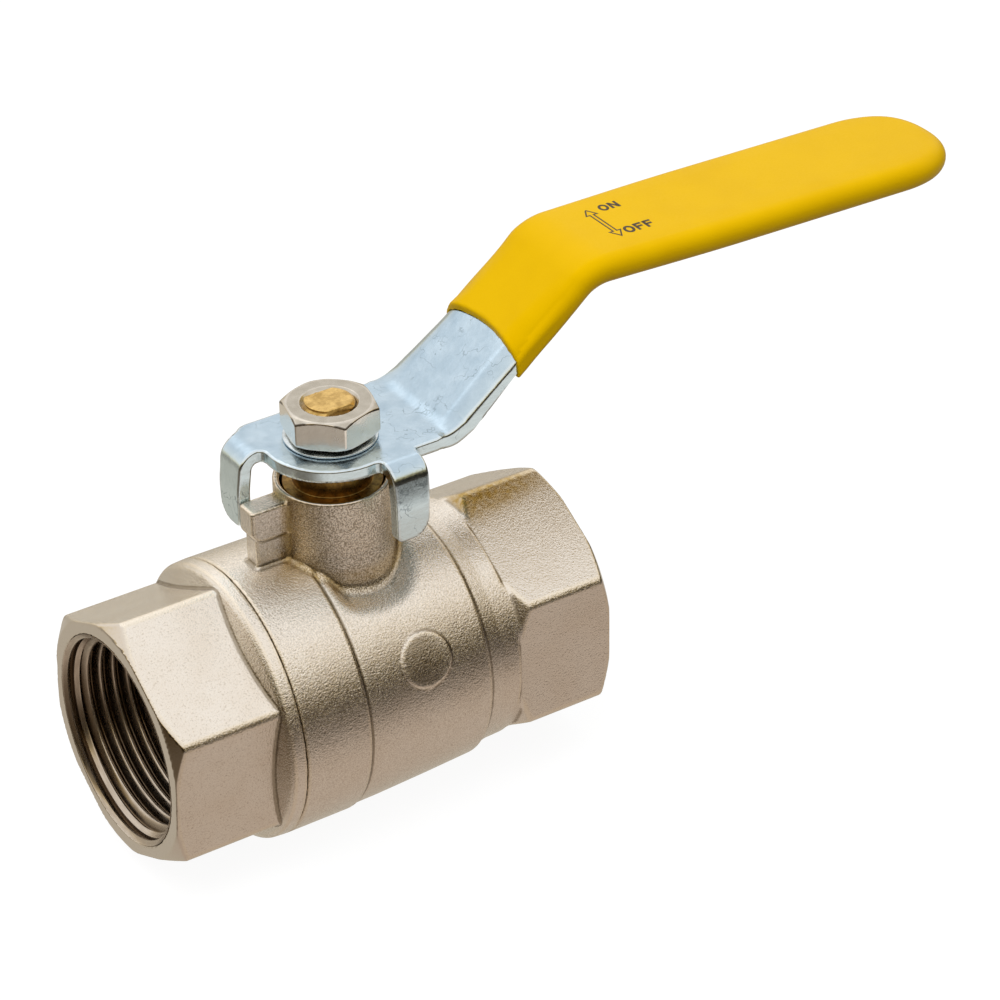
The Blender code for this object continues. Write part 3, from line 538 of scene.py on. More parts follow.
def lever_outline(u, v):
    """The flat lever: round front, two tabs and the arm."""
    disc = np.hypot(u, v) - FRONT_R
    back = box_field(u, v, -TAB_ROOT - 0.4, 14.0, TAB_NEAR, PLATE_HALF, 3.2)
    side = box_field(u, v, TAB_NEAR, 14.0, -PLATE_HALF, 6.0, 0.3)
    plate = join(np.minimum(disc, back), side, 0.3)
    end = -(TAB_ROOT + TAB_LENGTH)
    slant = 0.75 / TAB_LENGTH
    tabs = []
    for out, across in ((u, v), (v, u)):
        far = across - TAB_FAR - (out + TAB_ROOT) * slant
        near = TAB_NEAR - across
        tip = end - out
        tab = meet(meet(near, tip, 1.1), far, 0.2)
        tab = meet(tab, meet(tip, far, 3.0), 0.05)
        tabs.append(meet(tab, out + 8.0, 0.1))
    plate = join(plate, tabs[0], 1.3)
    plate = join(plate, tabs[1], 1.1)
    arm = meet(arm_outline(u, v), 2.5 - u, 0.1)
    return join(plate, arm, 0.3)


def lever_field(u, v, w):
    """The flat lever with the stem's two-flatted hole."""
    hole = meet(np.hypot(u, v) - STEM_THREAD_R - 0.15, np.abs(v) - STEM_FLAT_Y - 0.15, 0.2)
    outline = meet(lever_outline(u, v), -hole, 0.1)
    return sheet_field(outline, w, SHEET / 2.0, 0.35)


def sleeve_field(u, v, w):
    """The grip: straight sides, a rounded tip, full-round edges and a mouth cut back in its middle."""
    half_width = 10.25 + 0.8 * ease((u - 42.0) / 36.0)
    edge = 1.5 + 0.83 * ease((u - 34.0) / 12.0)
    tip_length, power = 13.0, 2.4
    tip = ARM_START + ARM_LENGTH + (SLEEVE_TIP_X - ARM_CORNERS[-1][0])
    past = np.maximum(u - (tip - tip_length), 0.0) / tip_length
    plan = ((np.abs(v) / half_width) ** power + past ** power) ** (1.0 / power)
    outer = sheet_field((plan - 1.0) * half_width, w, SLEEVE_HALF, edge)
    mouth = MOUTH_RUN + 1.8 * (1.0 - (v / half_width) ** 2) + 0.5 * (w - 2.2) - (u - ARM_START)
    outer = meet(outer, mouth, 0.35)
    gap = 0.06 - 0.12 * ease((np.abs(v) - 6.5) / 2.0)
    inner = sheet_field(arm_outline(u, v) - gap, w, SHEET / 2.0 + gap, 0.35)
    return meet(outer, -inner, 0.15)


# Small turned and threaded pieces.

def nut_chamfer(z, around):
    """The cone that takes off the nut's upper corners."""
    return (z - NUT_LOW_Z - NUT_HEIGHT) * 0.87 + (around - NUT_FACE_R) * 0.5


def nut_field(x, y, z):
    """Hexagon nut, chamfered above and below, with its thread."""
    low, high = NUT_LOW_Z, NUT_LOW_Z + NUT_HEIGHT
    around = np.hypot(x, y)
    bar = hexagon(x, y, NUT_CORNER_R, NUT_TURN, NUT_EDGE)
    top = nut_chamfer(z, around)
    bottom = (low - z) * 0.87 + (around - 7.1) * 0.5
    solid = meet(bar, np.maximum(top, bottom), 0.25)
    solid = meet(solid, np.maximum(z - high, low - z), 0.12)
    turn = np.arctan2(y, x) / (math.tau)
    hole = (around - 3.5 - thread_wave(z / SMALL_PITCH - turn, SMALL_DEPTH)) * 0.6
    mouth = (around - 4.25 - (z - high + 0.35) * 1.0) * 0.7
    return np.maximum(np.maximum(solid, -hole), -mouth)


def stem_field():
    """Stem: tang, head, grooves for the O-rings and a threaded end with two flats."""
    grooves = []
    for height in (24.1, 26.0):
        grooves += [(height - 0.7, STEM_R, 0.1), (height - 0.7, 3.9, 0.1), (height + 0.7, 3.9, 0.1),
                    (height + 0.7, STEM_R, 0.1)]
    turned = Profile([(18.9, 3.0), (18.9, 6.8, 0.4), (20.9, 6.8, 0.3), (20.9, STEM_R, 0.2)] + grooves
                     + [(38.6, STEM_R, 0.25), (38.6, 2.0)])

    def field(x, y, z):
        around = np.hypot(x, y)
        tang = np.maximum(np.abs(x) - 2.2, np.abs(y) - 5.8)
        tang = meet(tang, np.maximum(14.5 - z, z - 20.0), 0.3)
        solid = np.minimum(turned(z, around), tang)
        turn = np.arctan2(y, x) / (math.tau)
        cut = thread_wave(z / SMALL_PITCH - turn, SMALL_DEPTH) * ease((z - 41.0) / 0.8)
        rod = (around - STEM_THREAD_R + cut * 0.75) * 0.7
        rod = meet(rod, np.abs(y) - STEM_FLAT_Y, 0.12)
        rod = meet(rod, z - STEM_TOP_Z, 0.25)
        rod = np.maximum(rod, 30.0 - z)
        return join(solid, rod, 0.15)

    return field


def ball_field(x, y, z):
    """Ball with its bore and the slot for the stem's tang."""
    globe = np.sqrt(x * x + y * y + z * z) - BALL_R
    bore = np.hypot(y, z) - BALL_BORE_R
    slot = np.maximum(np.abs(x) - 2.5, 14.2 - z)
    solid = meet(globe, -bore, 0.5)
    return meet(solid, -slot, 0.25)


def edge_of(field, points, reach=0.45):
    """How sharply a surface turns at each point: positive on outer edges, negative in inner corners."""
    shifts = np.concatenate([np.eye(3), -np.eye(3)]) * reach
    return np.clip(sum(field(*(points + shift).T) for shift in shifts) / reach, -1.0, 1.0)


def paint(obj, name, values):
    """Keeps one number per vertex for the material to read."""
    layer = obj.data.attributes.new(name, "FLOAT", "POINT")
    layer.data.foreach_set("value", np.asarray(values, dtype=np.float32))


# Node materials.

class Nodes:
    """A node tree, written as one node per call."""

    def __init__(self, tree):
        self.tree = tree

    def node(self, kind, **inputs):
        """A new node with its settings and inputs; i0, i1 and so on are inputs by number."""
        made = self.tree.nodes.new("ShaderNode" + kind)
        for key, value in inputs.items():
            if hasattr(made, key):
                setattr(made, key, value)
                continue
            self.plug(made.inputs[int(key[1:])] if key[0] == "i" and key[1:].isdigit()
                      else made.inputs[key.replace("_", " ").title()], value)
        return made

    def plug(self, socket, value):
        """Links a socket to another one, or sets its number or colour."""
        if isinstance(value, bpy.types.NodeSocket):
            self.tree.links.new(value, socket)
        else:
            socket.default_value = (*value, 1.0) if socket.type == "RGBA" else value

    def math(self, operation, first, second=0.0):
        return self.node("Math", operation=operation, i0=first, i1=second).outputs[0]

    def span(self, value, low, high, to_low=0.0, to_high=1.0):
        """Carries value from low..high to to_low..to_high, and holds it there beyond."""
        return self.node("MapRange", clamp=True, Value=value, From_Min=low, From_Max=high,
                         To_Min=to_low, To_Max=to_high).outputs[0]

    def mix(self, share, first, second):
        """The first colour at share 0, the second at share 1."""
        return self.node("Mix", data_type="RGBA", i0=share, i6=first, i7=second).outputs[2]


class Look(Nodes):
    """A node material with a Principled shader."""

    def __init__(self, name, colour, metallic=0.0):
        self.material = bpy.data.materials.new(name)
        self.material.use_nodes = True
        super().__init__(self.material.node_tree)
        self.shader = self.tree.nodes["Principled BSDF"]
        self.set("Metallic", metallic)
        self.colour = colour
        self.place = self.node("TexCoord").outputs["Object"]

    def set(self, name, value):
        self.plug(self.shader.inputs[name], value)

    def layer(self, share, colour):
        """Lays a colour over the base colour, as far as share goes."""
        self.colour = self.mix(share, self.colour, colour)
        self.set("Base Color", self.colour)

    def noise(self, size, detail=2.0, roughness=0.55, stretch=None):
        """Soft random pattern whose features are about size millimetres."""
        place = self.place
        if stretch:
            place = self.node("Mapping", Vector=place, Scale=stretch).outputs[0]
        return self.node("TexNoise", Vector=place, Scale=1.0 / (size * MM), Detail=detail,
                         Roughness=roughness).outputs["Fac"]

    def attribute(self, name):
        return self.node("Attribute", attribute_name=name).outputs["Fac"]

    def upright(self):
        """1 on surfaces that stand upright, 0 on level ones."""
        normal = self.node("NewGeometry").outputs["Normal"]
        tilt = self.math("ABSOLUTE", self.node("SeparateXYZ", Vector=normal).outputs["Z"])
        return self.span(tilt, 0.2, 0.8, 1.0, 0.0)

    def bump(self, layers):
        """Stacks bumps given as (height, distance in millimetres, strength)."""
        normal = None
        for height, distance, strength in layers:
            made = self.node("Bump", Height=height, Distance=distance * MM, Strength=strength)
            if normal:
                self.plug(made.inputs["Normal"], normal)
            normal = made.outputs[0]
        self.set("Normal", normal)


def nickel_look():
    """Nickel plate over a blasted forging, with machined faces where the machined attribute is set."""
    look = Look("blasted_nickel", (0.84, 0.79, 0.72), 1.0)
    machined, edge, brown_tint_and_shade = look.attribute("machined"), look.attribute("edge"), look.attribute("brown_tint_and_shade")
    grain = look.noise(0.30, 3.0, 0.62)
    pits = look.noise(0.9, 2.0)
    cloud = look.noise(7.0, 3.0)
    look.layer(look.span(cloud, 0.35, 0.7), (0.80, 0.735, 0.65))
    look.layer(look.span(grain, 0.30, 0.44, 0.4, 0.0), (0.36, 0.28, 0.18))
    cast, spots = look.attribute("cast"), look.noise(0.21, 1.0, 0.5)
    look.layer(look.math("MULTIPLY", cast, look.span(spots, 0.38, 0.54, 0.75, 0.0)), (0.28, 0.22, 0.15))
    look.layer(look.math("MULTIPLY", cast, look.span(spots, 0.48, 0.62, 0.0, 0.65)), (1.0, 0.96, 0.88))
    # painted highlight: outer edges are lifted towards a light gold; painted shade: inner corners are
    # darkened towards brown
    look.layer(look.span(edge, 0.12, 0.45, 0.0, 0.25), (0.86, 0.74, 0.52))
    look.layer(look.span(edge, -0.5, -0.12, 0.75, 0.0), (0.24, 0.19, 0.12))
    # brown tint on the hexagon's upper face, and painted shade on the neck's left side and foot, broken up by
    # the pits pattern
    look.layer(look.math("MULTIPLY", brown_tint_and_shade, look.span(pits, 0.30, 0.60, 0.6, 1.0)), (0.46, 0.31, 0.09))
    look.layer(look.math("MULTIPLY", machined, 0.75), (0.66, 0.60, 0.53))
    smoother = look.span(machined, 0.0, 1.0, 1.0, 0.78)
    look.set("Roughness", look.math("MULTIPLY", look.span(pits, 0.3, 0.7, 0.12, 0.19), smoother))
    blasted = look.span(machined, 0.0, 1.0, 1.0, 0.16)
    rings = look.noise(0.5, 2.0, 0.5, stretch=(1.0, 0.03, 0.03))
    look.bump([
        (cloud, 0.10, 0.5),
        (pits, 0.045, look.math("MULTIPLY", blasted, 0.7)),
        (grain, 0.10, blasted),
        (rings, 0.01, look.math("MULTIPLY", machined, 0.4)),
    ])
    return look.material


def thread_look():
    """Cut nickel-plated thread, with painted brown shade in its roots and in the groove."""
    look = Look("threaded_nickel", (0.58, 0.51, 0.43), 1.0)
    streak = look.noise(0.35, 3.0, 0.6, stretch=(1.0, 0.12, 0.12))
    # painted shade: darker and browner towards the thread roots and in the groove
    look.layer(look.span(look.attribute("depth"), 0.15, 0.85), (0.17, 0.12, 0.075))
    look.layer(look.span(streak, 0.4, 0.65, 0.0, 0.3), (0.30, 0.23, 0.16))
    look.set("Roughness", look.span(streak, 0.3, 0.7, 0.20, 0.36))
    look.bump([(streak, 0.02, 0.5)])
    return look.material


def zinc_look():
    """Bluish bright zinc plate with faint drawing lines and scratches."""
    look = Look("zinc_plate", (0.53, 0.655, 0.755), 1.0)
    edge = look.attribute("edge")
    cloud = look.noise(4.0, 3.0, 0.6)
    fine = look.noise(0.22, 2.0, 0.6)
    drawn = look.noise(0.5, 3.0, 0.6, stretch=(0.06, 1.0, 1.0))
    wander = look.math("ABSOLUTE", look.math("SUBTRACT", look.noise(5.0, 3.0), 0.5))
    scratch = look.math("MULTIPLY", look.span(wander, 0.002, 0.008, 1.0, 0.0),
                        look.span(look.noise(6.0, 1.0), 0.46, 0.54, 0.0, 0.55))
    shade = look.math("MULTIPLY", look.attribute("shade"), look.span(fine, 0.35, 0.6, 0.8, 0.45))
    look.layer(look.span(cloud, 0.35, 0.7), (0.41, 0.53, 0.63))
    # painted light: upright faces, such as the tabs, are lightened towards a pale blue-white
    look.layer(look.math("MULTIPLY", look.upright(), 0.8), (0.80, 0.94, 0.99))
    look.layer(scratch, (0.22, 0.28, 0.32))
    # painted dark reflection: a dark band on the right tab just below its bend
    look.layer(shade, (0.07, 0.085, 0.085))
    # painted highlight on outer edges and painted shade in inner corners
    look.layer(look.span(edge, 0.10, 0.5, 0.0, 0.5), (0.80, 0.87, 0.90))
    look.layer(look.span(edge, -0.5, -0.1, 0.4, 0.0), (0.25, 0.31, 0.34))
    look.set("Roughness", look.span(drawn, 0.3, 0.7, 0.14, 0.26))
    look.bump([(cloud, 0.12, 0.6), (drawn, 0.02, 0.4), (fine, 0.02, 0.6)])
    return look.material


def vinyl_look():
    """Dipped yellow vinyl: smooth, slightly waxy, with faint flow unevenness."""
    look = Look("yellow_vinyl", (0.68, 0.41, 0.0))
    cloud = look.noise(9.0, 2.0)
    fine = look.noise(0.35, 2.0, 0.6)
    look.layer(look.span(cloud, 0.35, 0.7), (0.65, 0.385, 0.0))
    look.layer(look.span(fine, 0.3, 0.7, 0.0, 0.12), (0.58, 0.33, 0.0))
    look.set("Roughness", look.span(fine, 0.3, 0.7, 0.36, 0.46))
    look.set("Specular IOR Level", 0.12)
    look.set("Specular Tint", (1.0, 0.66, 0.02))
    look.bump([(cloud, 0.12, 0.5), (fine, 0.008, 0.4)])
    return look.material


def nut_look():
    """Smooth nickel-plated steel, warm grey."""
    look = Look("plated_nut", (0.54, 0.50, 0.43), 1.0)
    cloud = look.noise(1.6, 3.0)
    turned = look.noise(0.25, 2.0, 0.6)
    look.layer(look.span(cloud, 0.3, 0.7), (0.43, 0.395, 0.33))
    # painted light: the upright facets are lighter than the top
    look.layer(look.upright(), (0.93, 0.89, 0.81))
    # painted highlight along the nut's outer edges
    look.layer(look.span(look.attribute("edge"), 0.15, 0.5, 0.0, 0.35), (0.86, 0.81, 0.74))
    # painted dark reflection: black lines where the chamfer meets the facets, near the corners
    look.layer(look.span(look.attribute("line"), 0.1, 0.8, 0.0, 0.85), (0.05, 0.04, 0.03))
    look.set("Roughness", look.span(cloud, 0.3, 0.7, 0.16, 0.28))
    look.bump([(cloud, 0.04, 0.5), (turned, 0.010, 0.5)])
    return look.material


def plain_look(name, light, dark, size, rough, metallic=0.0, lifts=(0.04, 0.01), clouding=0.55, grain=0.5):
    """Even material with a little mottling and fine grain; rough is its lowest and highest roughness."""
    look = Look(name, light, metallic)
    cloud = look.noise(size, 3.0, clouding)
    fine = look.noise(size * 0.15, 2.0, 0.6)
    look.layer(look.span(cloud, 0.35, 0.65), dark)
    look.set("Roughness", look.span(fine, 0.3, 0.7, *rough))
    look.bump([(cloud, lifts[0], 0.5), (fine, lifts[1], grain)])
    return look.material


# Printed arrow and words.

def stroke(points, width):
    """A flat band along a line of points, as one quad per run with mitred joints."""
    line = [Vector(point) for point in points]
    rows = []
    for index, point in enumerate(line):
        ahead = line[min(index + 1, len(line) - 1)] - point
        behind = point - line[max(index - 1, 0)]
        first = (behind if behind.length else ahead).normalized()
        second = (ahead if ahead.length else behind).normalized()
        middle = (first + second).normalized()
        side = Vector((-middle.y, middle.x)) * (width / 2.0) / max(middle.dot(first), 0.35)
        rows.append((point + side, point - side))
    return rows


def oval(centre, half_u, half_v, steps=28):
    turns = [math.tau * step / steps for step in range(steps + 1)]
    return [(centre[0] + half_u * math.cos(t), centre[1] + half_v * math.sin(t)) for t in turns]


def letter_strokes(letter, size):
    """Centre lines of a plain capital, size high, with its foot at (0, 0); and how wide it is."""
    half = size * 0.1
    if letter == "O":
        wide = size * 0.82
        return [oval((wide / 2.0, size / 2.0), wide / 2.0 - half, size / 2.0 - half)], wide
    if letter == "N":
        wide = size * 0.78
        return [[(half, 0), (half, size)], [(half * 1.3, size - half), (wide - half * 1.3, half)],
                [(wide - half, 0), (wide - half, size)]], wide
    wide = size * 0.66
    return [[(half, 0), (half, size)], [(half, size - half), (wide, size - half)],
            [(half, size * 0.52), (wide * 0.9, size * 0.52)]], wide


def print_strokes(strokes, width, low, high):
    """Raises flat strokes into thin closed bars between two heights."""
    points, faces = [], []
    for line in strokes:
        closed = line[0] == line[-1]
        rows = stroke(fine_line(line), width)
        rows = rows[:-1] if closed else rows
        base = len(points)
        for left, right in rows:
            points += [(*left, low), (*right, low), (*right, high), (*left, high)]
        count = len(rows)
        for row in range(count if closed else count - 1):
            near, far = base + row * 4, base + (row + 1) % count * 4
            for corner in range(4):
                after = (corner + 1) % 4
                faces.append((near + corner, near + after, far + after, far + corner))
        if not closed:
            faces.append((base, base + 3, base + 2, base + 1))
            end = base + (count - 1) * 4
            faces.append((end, end + 1, end + 2, end + 3))
    return np.array(points), faces


def grip_run(x):
    """Distance along the flat lever of a point over the grip's straight part."""
    return ARM_START + ARM_LENGTH - (ARM_CORNERS[-1][0] - x)


def printed_marks():
    """A double-headed arrow across the grip with ON and OFF beside its two ends."""
    middle, tip_high, tip_low = grip_run(50.8), 5.2, -4.9
    head, wing, shaft = 1.85, 1.0, 0.34
    outline = [
        (middle, tip_high), (middle + wing, tip_high - head), (middle + shaft, tip_high - head),
        (middle + shaft, tip_low + head), (middle + wing, tip_low + head), (middle, tip_low),
        (middle - wing, tip_low + head), (middle - shaft, tip_low + head), (middle - shaft, tip_high - head),
        (middle - wing, tip_high - head), (middle, tip_high),
    ]
    low, high = 2.28, 2.405
    parts = [print_strokes([outline], 0.25, low, high)]
    for word, start, foot, size in (("ON", 52.95, 3.45, 2.05), ("OFF", 52.1, -4.85, 2.2)):
        at = grip_run(start)
        for letter in word:
            strokes, wide = letter_strokes(letter, size)
            moved = [[(at + u, foot + v) for u, v in line] for line in strokes]
            parts.append(print_strokes(moved, size * 0.22, low, high))
            at += wide + size * 0.14
    points, faces = [], []
    for part_points, part_faces in parts:
        faces += [tuple(index + len(points) for index in face) for face in part_faces]
        points += part_points.tolist()
    return bend_lever(np.array(points)), faces


# The pieces.

nickel, thread, zinc, vinyl, nut_plate = nickel_look(), thread_look(), zinc_look(), vinyl_look(), nut_look()
brass_finish = (1.2, (0.24, 0.42), 1.0, (0.05, 0.012), 0.6, 0.6)
brass = plain_look("brass", (0.80, 0.55, 0.20), (0.50, 0.32, 0.10), *brass_finish)
# painted shade: a darker copy of the brass for the packing gland, which sits in shade under the lever
shaded_brass = plain_look("shaded_brass", (0.46, 0.27, 0.07), (0.20, 0.11, 0.03), *brass_finish)
ptfe = plain_look("white_ptfe", (0.80, 0.79, 0.75), (0.72, 0.71, 0.66), 2.0, (0.336, 0.504))
rubber = plain_look("black_rubber", (0.020, 0.020, 0.021), (0.035, 0.034, 0.033), 0.8, (0.44, 0.66))
chrome = plain_look("chrome_ball", (0.72, 0.73, 0.74), (0.66, 0.67, 0.69), 5.0, (0.064, 0.096), 1.0,
                    (0.016, 0.004))
spring_steel = plain_look("washer_steel", (0.74, 0.80, 0.83), (0.58, 0.64, 0.67), 1.5, (0.208, 0.312), 1.0)
ink = plain_look("printed_ink", (0.030, 0.018, 0.008), (0.055, 0.034, 0.012), 0.6, (0.44, 0.66))

REACH = FLANGE_R + 0.3


def end_face(past, around):
    """1 on a pipe end's turned face and its chamfer; past is the distance beyond the face along the pipe."""
    chamfer = past + np.maximum(around - HEX_FACE_R, 0.0) * HEX_CHAMFER / (HEX_R + 0.1 - HEX_FACE_R)
    return ease((chamfer + 0.30) / 0.2)


def make_body():
    field = body_field()
    low, high = (-20.0, -REACH, -REACH), (OUTLET_X, REACH, NECK_TOP_Z + 0.3)
    piece, points = add_surface("body_shell", field, low, high, VOXEL, nickel, VALVE, "valve_body")
    x, y, z = points.T
    around, level = np.hypot(y, z), np.hypot(x, y)
    inside = ease((17.6 - around) / 0.3) * (z < 20.0) + end_face(x - OUTLET_X, around)
    rim = ease((z - NECK_TOP_Z + 0.3) / 0.2)
    way = ease((8.6 - level) / 0.3) * (z > 18.0)
    paint(piece, "machined", np.clip(inside + rim + way, 0.0, 1.0))
    paint(piece, "edge", edge_of(field, points))
    # Brown tint along the hexagon's upper face; painted shade on the neck: a little all round, more on its
    # left side and at its foot.
    from_edge = np.abs(y + 1.1) / (2.3 - 0.06 * (x - 22.0))
    brown_tint_and_shade = ease((2.4 - from_edge) / 2.0)
    brown_tint_and_shade *= ease((x - 21.8) / 0.6) * ease((44.0 - x) / 14.0)
    on_neck = ease((11.3 - level) / 1.2) * ease((z - 18.5) / 1.5)
    from_left = ease((-x + 0.3 * y - 3.0) / 5.0)
    brown_tint_and_shade += on_neck * (0.12 + 0.50 * from_left + 0.35 * ease((23.0 - z) / 2.0))
    # The as-cast speckle is strongest on and around the neck.
    beside_neck = ease((12.0 - level) / 2.5) * (z > 15.0)
    paint(piece, "cast", np.clip(0.25 * (x < 21.0) + beside_neck, 0.0, 1.0) * (1.0 - rim) * (1.0 - way))
    paint(piece, "brown_tint_and_shade", brown_tint_and_shade * (z > 18.0))


def make_connector():
    field = connector_field()
    piece, points = add_surface("connector_shell", field, (INLET_X, -REACH, -REACH), (-9.0, REACH, REACH),
                                VOXEL, nickel, VALVE, "end_connector")
    x, y, z = points.T
    around = np.hypot(y, z)
    machined = ease((17.6 - around) / 0.3) + end_face(INLET_X - x, around)
    machined += ease((x + 19.0) / 0.3)
    paint(piece, "machined", np.clip(machined, 0.0, 1.0))
    paint(piece, "edge", edge_of(field, points))


def make_threads():
    for name, face_x, inward in (("inlet_thread", INLET_X, 1.0), ("outlet_thread", OUTLET_X, -1.0)):
        points, faces = thread_liner(face_x, inward)
        piece = add_piece(name, points, faces, thread, VALVE)
        around = np.hypot(points[:, 1], points[:, 2])
        inside = np.abs(points[:, 0] - face_x)
        depth = np.clip((around - THREAD_MINOR_R) / THREAD_DEPTH, 0.0, 1.0)
        groove = (inside > GROOVE_START - 0.04) & (inside < GROOVE_END + 0.04)
        # depth drives the painted shade: 1 in the groove and at the thread roots, 0 on the lip and lead-in
        paint(piece, "depth", np.where(groove, 1.0, np.where(inside < LEAD_IN_END + 0.05, 0.0, depth)))


def make_ball():
    add_surface("polished_ball", ball_field, (-BALL_R,) * 3, (BALL_R,) * 3, 0.5, chrome, BALL, "ball")


def make_seats():
    """Rings whose conical faces touch the ball between two radii."""
    touch_low, touch_high = 12.8, 16.0
    face_in, face_out = (math.sqrt((BALL_R + 0.05) ** 2 - r ** 2) for r in (touch_high, touch_low))
    corners = [(15.4, 12.5, 0.2), (15.4, 17.0, 0.3), (face_in, 17.0, 0.2), (face_in, touch_high, 0.1),
               (face_out, touch_low, 0.1), (face_out, 12.5, 0.1)]
    for end, side in (("inlet", -1.0), ("outlet", 1.0)):
        points, faces = turned_mesh([(u * side, v, r) for u, v, r in corners], "X")
        add_piece(end + "_seat_ring", points, faces, ptfe, VALVE, ("seat_" + end,))


def make_stem():
    add_surface("valve_stem", stem_field(), (-6.9, -6.9, 14.4), (6.9, 6.9, STEM_TOP_Z), FINE_VOXEL, brass,
                LEVER, "stem")


def make_gland():
    corners = [(28.9, 5.3, 0.2), (28.9, 7.9, 0.3), (33.5, 7.9, 0.3), (33.5, 6.2, 0.2), (38.4, 6.2, 0.4),
               (38.4, 5.3, 0.2)]
    points, faces = turned_mesh(corners, "Z", 128)
    add_piece("packing_gland", points, faces, shaded_brass, VALVE, ("gland_nut",))


def make_washer():
    corners = [(41.20, 7.4, 0.1), (41.50, 7.4, 0.1), (42.05, 4.4, 0.15), (41.45, 4.4, 0.15)]
    points, faces = turned_mesh(corners, "Z", 128)
    add_piece("cone_washer", points, faces, spring_steel, LEVER, ("spring_washer",))


def make_nut():
    piece, points = add_surface("lever_lock_nut", nut_field, (-8.0, -8.0, NUT_LOW_Z),
                                (8.0, 8.0, NUT_LOW_Z + NUT_HEIGHT), FINE_VOXEL, nut_plate, LEVER,
                                "lever_nut")
    paint(piece, "edge", edge_of(nut_field, points, 0.2))
    x, y, z = points.T
    around = np.hypot(x, y)
    # painted dark reflection along the chamfer ridge, near the corners
    from_ridge = np.abs(hexagon(x, y, NUT_CORNER_R, NUT_TURN, NUT_EDGE) - nut_chamfer(z, around))
    paint(piece, "line", ease(1.0 - from_ridge / 0.3) * ease((around - 6.95) / 0.3))


def make_lever():
    low = (-(TAB_ROOT + TAB_LENGTH) - 0.5, -(TAB_ROOT + TAB_LENGTH) - 0.5, -SHEET / 2.0)
    high = (ARM_START + ARM_LENGTH, PLATE_HALF + 0.5, SHEET / 2.0)
    piece, flat = add_bent("lever_plate", lever_field, low, high, zinc, "lever")
    paint(piece, "edge", edge_of(lever_field, flat, 0.3))
    # painted dark reflection: a dark band on the right tab, from about 2 to 7 mm past its bend
    below_bend = -flat[:, 1] - TAB_ROOT
    paint(piece, "shade", ease((below_bend - 2.2) / 1.4) * ease((6.6 - below_bend) / 3.2))


def make_grip():
    low = (ARM_START + MOUTH_RUN - 2.5, -11.1, -2.4)
    high = (ARM_START + ARM_LENGTH + 6.3, 11.1, 2.4)
    add_bent("vinyl_grip", sleeve_field, low, high, vinyl, "lever_sleeve")
    points, faces = printed_marks()
    add_piece("grip_marks", points, faces, ink, LEVER)


def finish_hidden_parts():
    """Gives the parts inside the neck their materials."""
    for node, look in (("thrust_washer", ptfe), ("packing_lower", ptfe), ("packing_upper", ptfe),
                       ("stem_o_ring_lower", rubber), ("stem_o_ring_upper", rubber)):
        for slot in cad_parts[node].material_slots:
            slot.material = look


for make in (make_body, make_connector, make_threads, make_ball, make_seats, make_stem, make_gland,
             make_washer, make_nut, make_lever, make_grip, finish_hidden_parts):
    make()


# Floor, light and camera.

def make_floor():
    """A large pale floor: white to the eye, and in the metal's reflections a painted, glowing warm grey."""
    mesh = bpy.data.meshes.new("floor")
    side, level = 6.0, -0.0002
    corners = ((-side, -side), (side, -side), (side, side), (-side, side))
    mesh.from_pydata([(*corner, level) for corner in corners], [], [(0, 1, 2, 3)])
    look = Look("pale_floor", (0.93, 0.93, 0.93))
    look.set("Roughness", 0.9)
    rays = look.node("LightPath").outputs
    look.layer(rays["Is Diffuse Ray"], (0.26, 0.26, 0.26))
    look.set("Specular IOR Level", 0.1)
    # painted reflection: what the metal mirrors is an emitted colour, darker for rays landing near the object
    # (painted shadow), dark towards the horizon, grey behind, and dark towards the left
    incoming = look.node("NewGeometry").outputs["Incoming"]
    towards = look.node("SeparateXYZ", Vector=incoming).outputs
    steep = look.span(towards["Z"], 0.16, 0.46)
    behind = look.span(towards["Y"], -0.45, -0.10, 1.0, 0.0)
    left = look.span(towards["X"], 0.52, 0.80, 0.0, 0.85)
    away = look.span(rays["Ray Length"], 0.088, 0.125)
    paper_seen = look.mix(away, (0.53, 0.44, 0.365), (0.86, 0.80, 0.74))
    mirrored = look.mix(steep, (0.05, 0.037, 0.024), paper_seen)
    mirrored = look.mix(behind, mirrored, (0.56, 0.51, 0.43))
    mirrored = look.mix(left, mirrored, (0.09, 0.06, 0.03))
    shine = look.node("Emission", Color=mirrored, Strength=1.0)
    paper = look.node("Emission", Color=(1.0, 1.0, 1.0), Strength=1.05)
    seen = look.node("MixShader", i0=look.math("MULTIPLY", rays["Is Camera Ray"], 0.88),
                     i1=look.shader.outputs[0], i2=paper.outputs[0])
    choice = look.node("MixShader", i0=rays["Is Glossy Ray"], i1=seen.outputs[0], i2=shine.outputs[0])
    look.plug(look.tree.nodes["Material Output"].inputs["Surface"], choice.outputs[0])
    mesh.materials.append(look.material)
    add_object("floor", mesh)


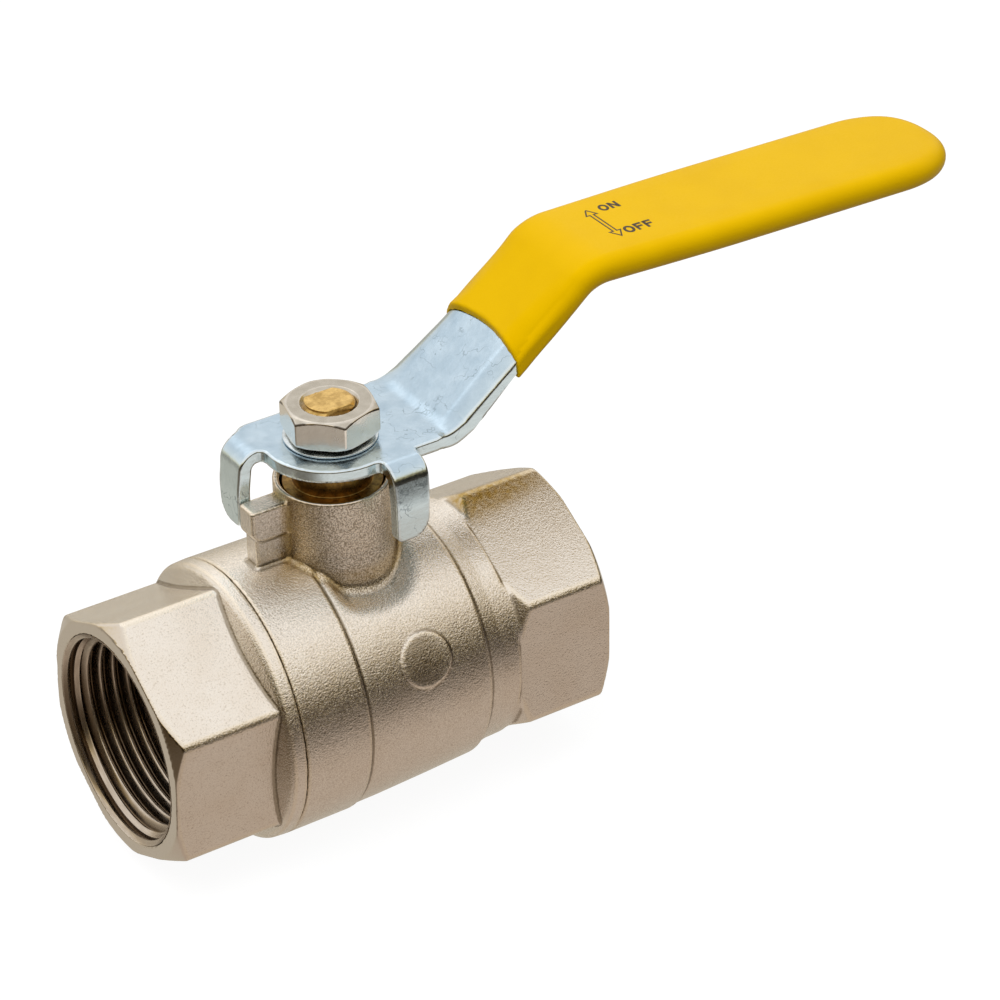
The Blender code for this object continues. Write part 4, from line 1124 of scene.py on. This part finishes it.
def make_world():
    """Soft white light from above; the metal sees a dark horizon, a golden band over it and white above."""
    world = bpy.data.worlds.new("studio")
    bpy.context.scene.world = world
    world.use_nodes = True
    sky = Nodes(world.node_tree)
    sky.tree.nodes.clear()
    place = sky.node("TexCoord").outputs["Generated"]
    towards = sky.node("SeparateXYZ", i0=place).outputs
    behind = sky.span(towards["Y"], 0.10, 0.60, 0.0, 0.40)
    ramp = sky.node("ValToRGB", i0=sky.math("ADD", towards["Z"], behind))
    stops = [
        (0.00, (0.008, 0.006, 0.004)), (0.25, (0.018, 0.012, 0.006)), (0.32, (0.31, 0.20, 0.05)),
        (0.40, (0.86, 0.70, 0.38)), (0.51, (1.02, 0.97, 0.91)), (1.00, (1.05, 1.03, 1.01)),
    ]
    elements = ramp.color_ramp.elements
    for position, colour in stops[1:-1]:
        elements.new(position).color = (*colour, 1.0)
    elements[0].color, elements[-1].color = (*stops[0][1], 1.0), (*stops[-1][1], 1.0)
    patch = sky.math("MULTIPLY", sky.span(towards["Y"], 0.45, 0.60, 0.0, 0.45),
                     sky.span(towards["Z"], 0.60, 0.68))
    mirrored = sky.node("Background", Color=ramp.outputs[0], Strength=sky.math("ADD", patch, 1.0))
    lift = sky.span(towards["Z"], 0.0, 0.8, 0.2, 1.0)
    soft = sky.node("Background", Color=(1.0, 1.0, 1.0), Strength=lift)
    rays = sky.node("LightPath").outputs
    choice = sky.node("MixShader", i0=rays["Is Glossy Ray"], i1=soft.outputs[0], i2=mirrored.outputs[0])
    sky.node("OutputWorld", i0=choice.outputs[0])


def make_light():
    """A square soft light overhead that the metal does not mirror."""
    data = bpy.data.lights.new("overhead", "AREA")
    data.shape, data.size, data.energy = "SQUARE", 0.7, 4.0
    light = add_object("overhead", data)
    light.location = (-0.25, -0.15, 0.75)
    light.visible_glossy = False
    aim = Vector((0.0, 0.0, 0.03)) - light.location
    light.rotation_euler = aim.to_track_quat("-Z", "Y").to_euler()


def make_camera():
    """The camera at the photograph's viewing angle."""
    azimuth, elevation, roll = math.radians(32.89), math.radians(32.04), math.radians(-0.917)
    data = bpy.data.cameras.new("camera")
    data.sensor_width, data.lens = 36.0, 136.6
    data.clip_start, data.clip_end = 0.01, 50.0
    camera = add_object("camera", data)
    place = BALL_CENTRE + Vector((-248.80, -432.20, 340.51)) * MM
    heading = Matrix.Rotation(-azimuth, 4, "Z") @ Matrix.Rotation(math.pi / 2.0 - elevation, 4, "X")
    camera.matrix_world = Matrix.Translation(place) @ heading @ Matrix.Rotation(roll, 4, "Z")
    bpy.context.scene.camera = camera


for make in (make_floor, make_world, make_light, make_camera):
    make()
bpy.context.scene.view_settings.view_transform = "Standard"
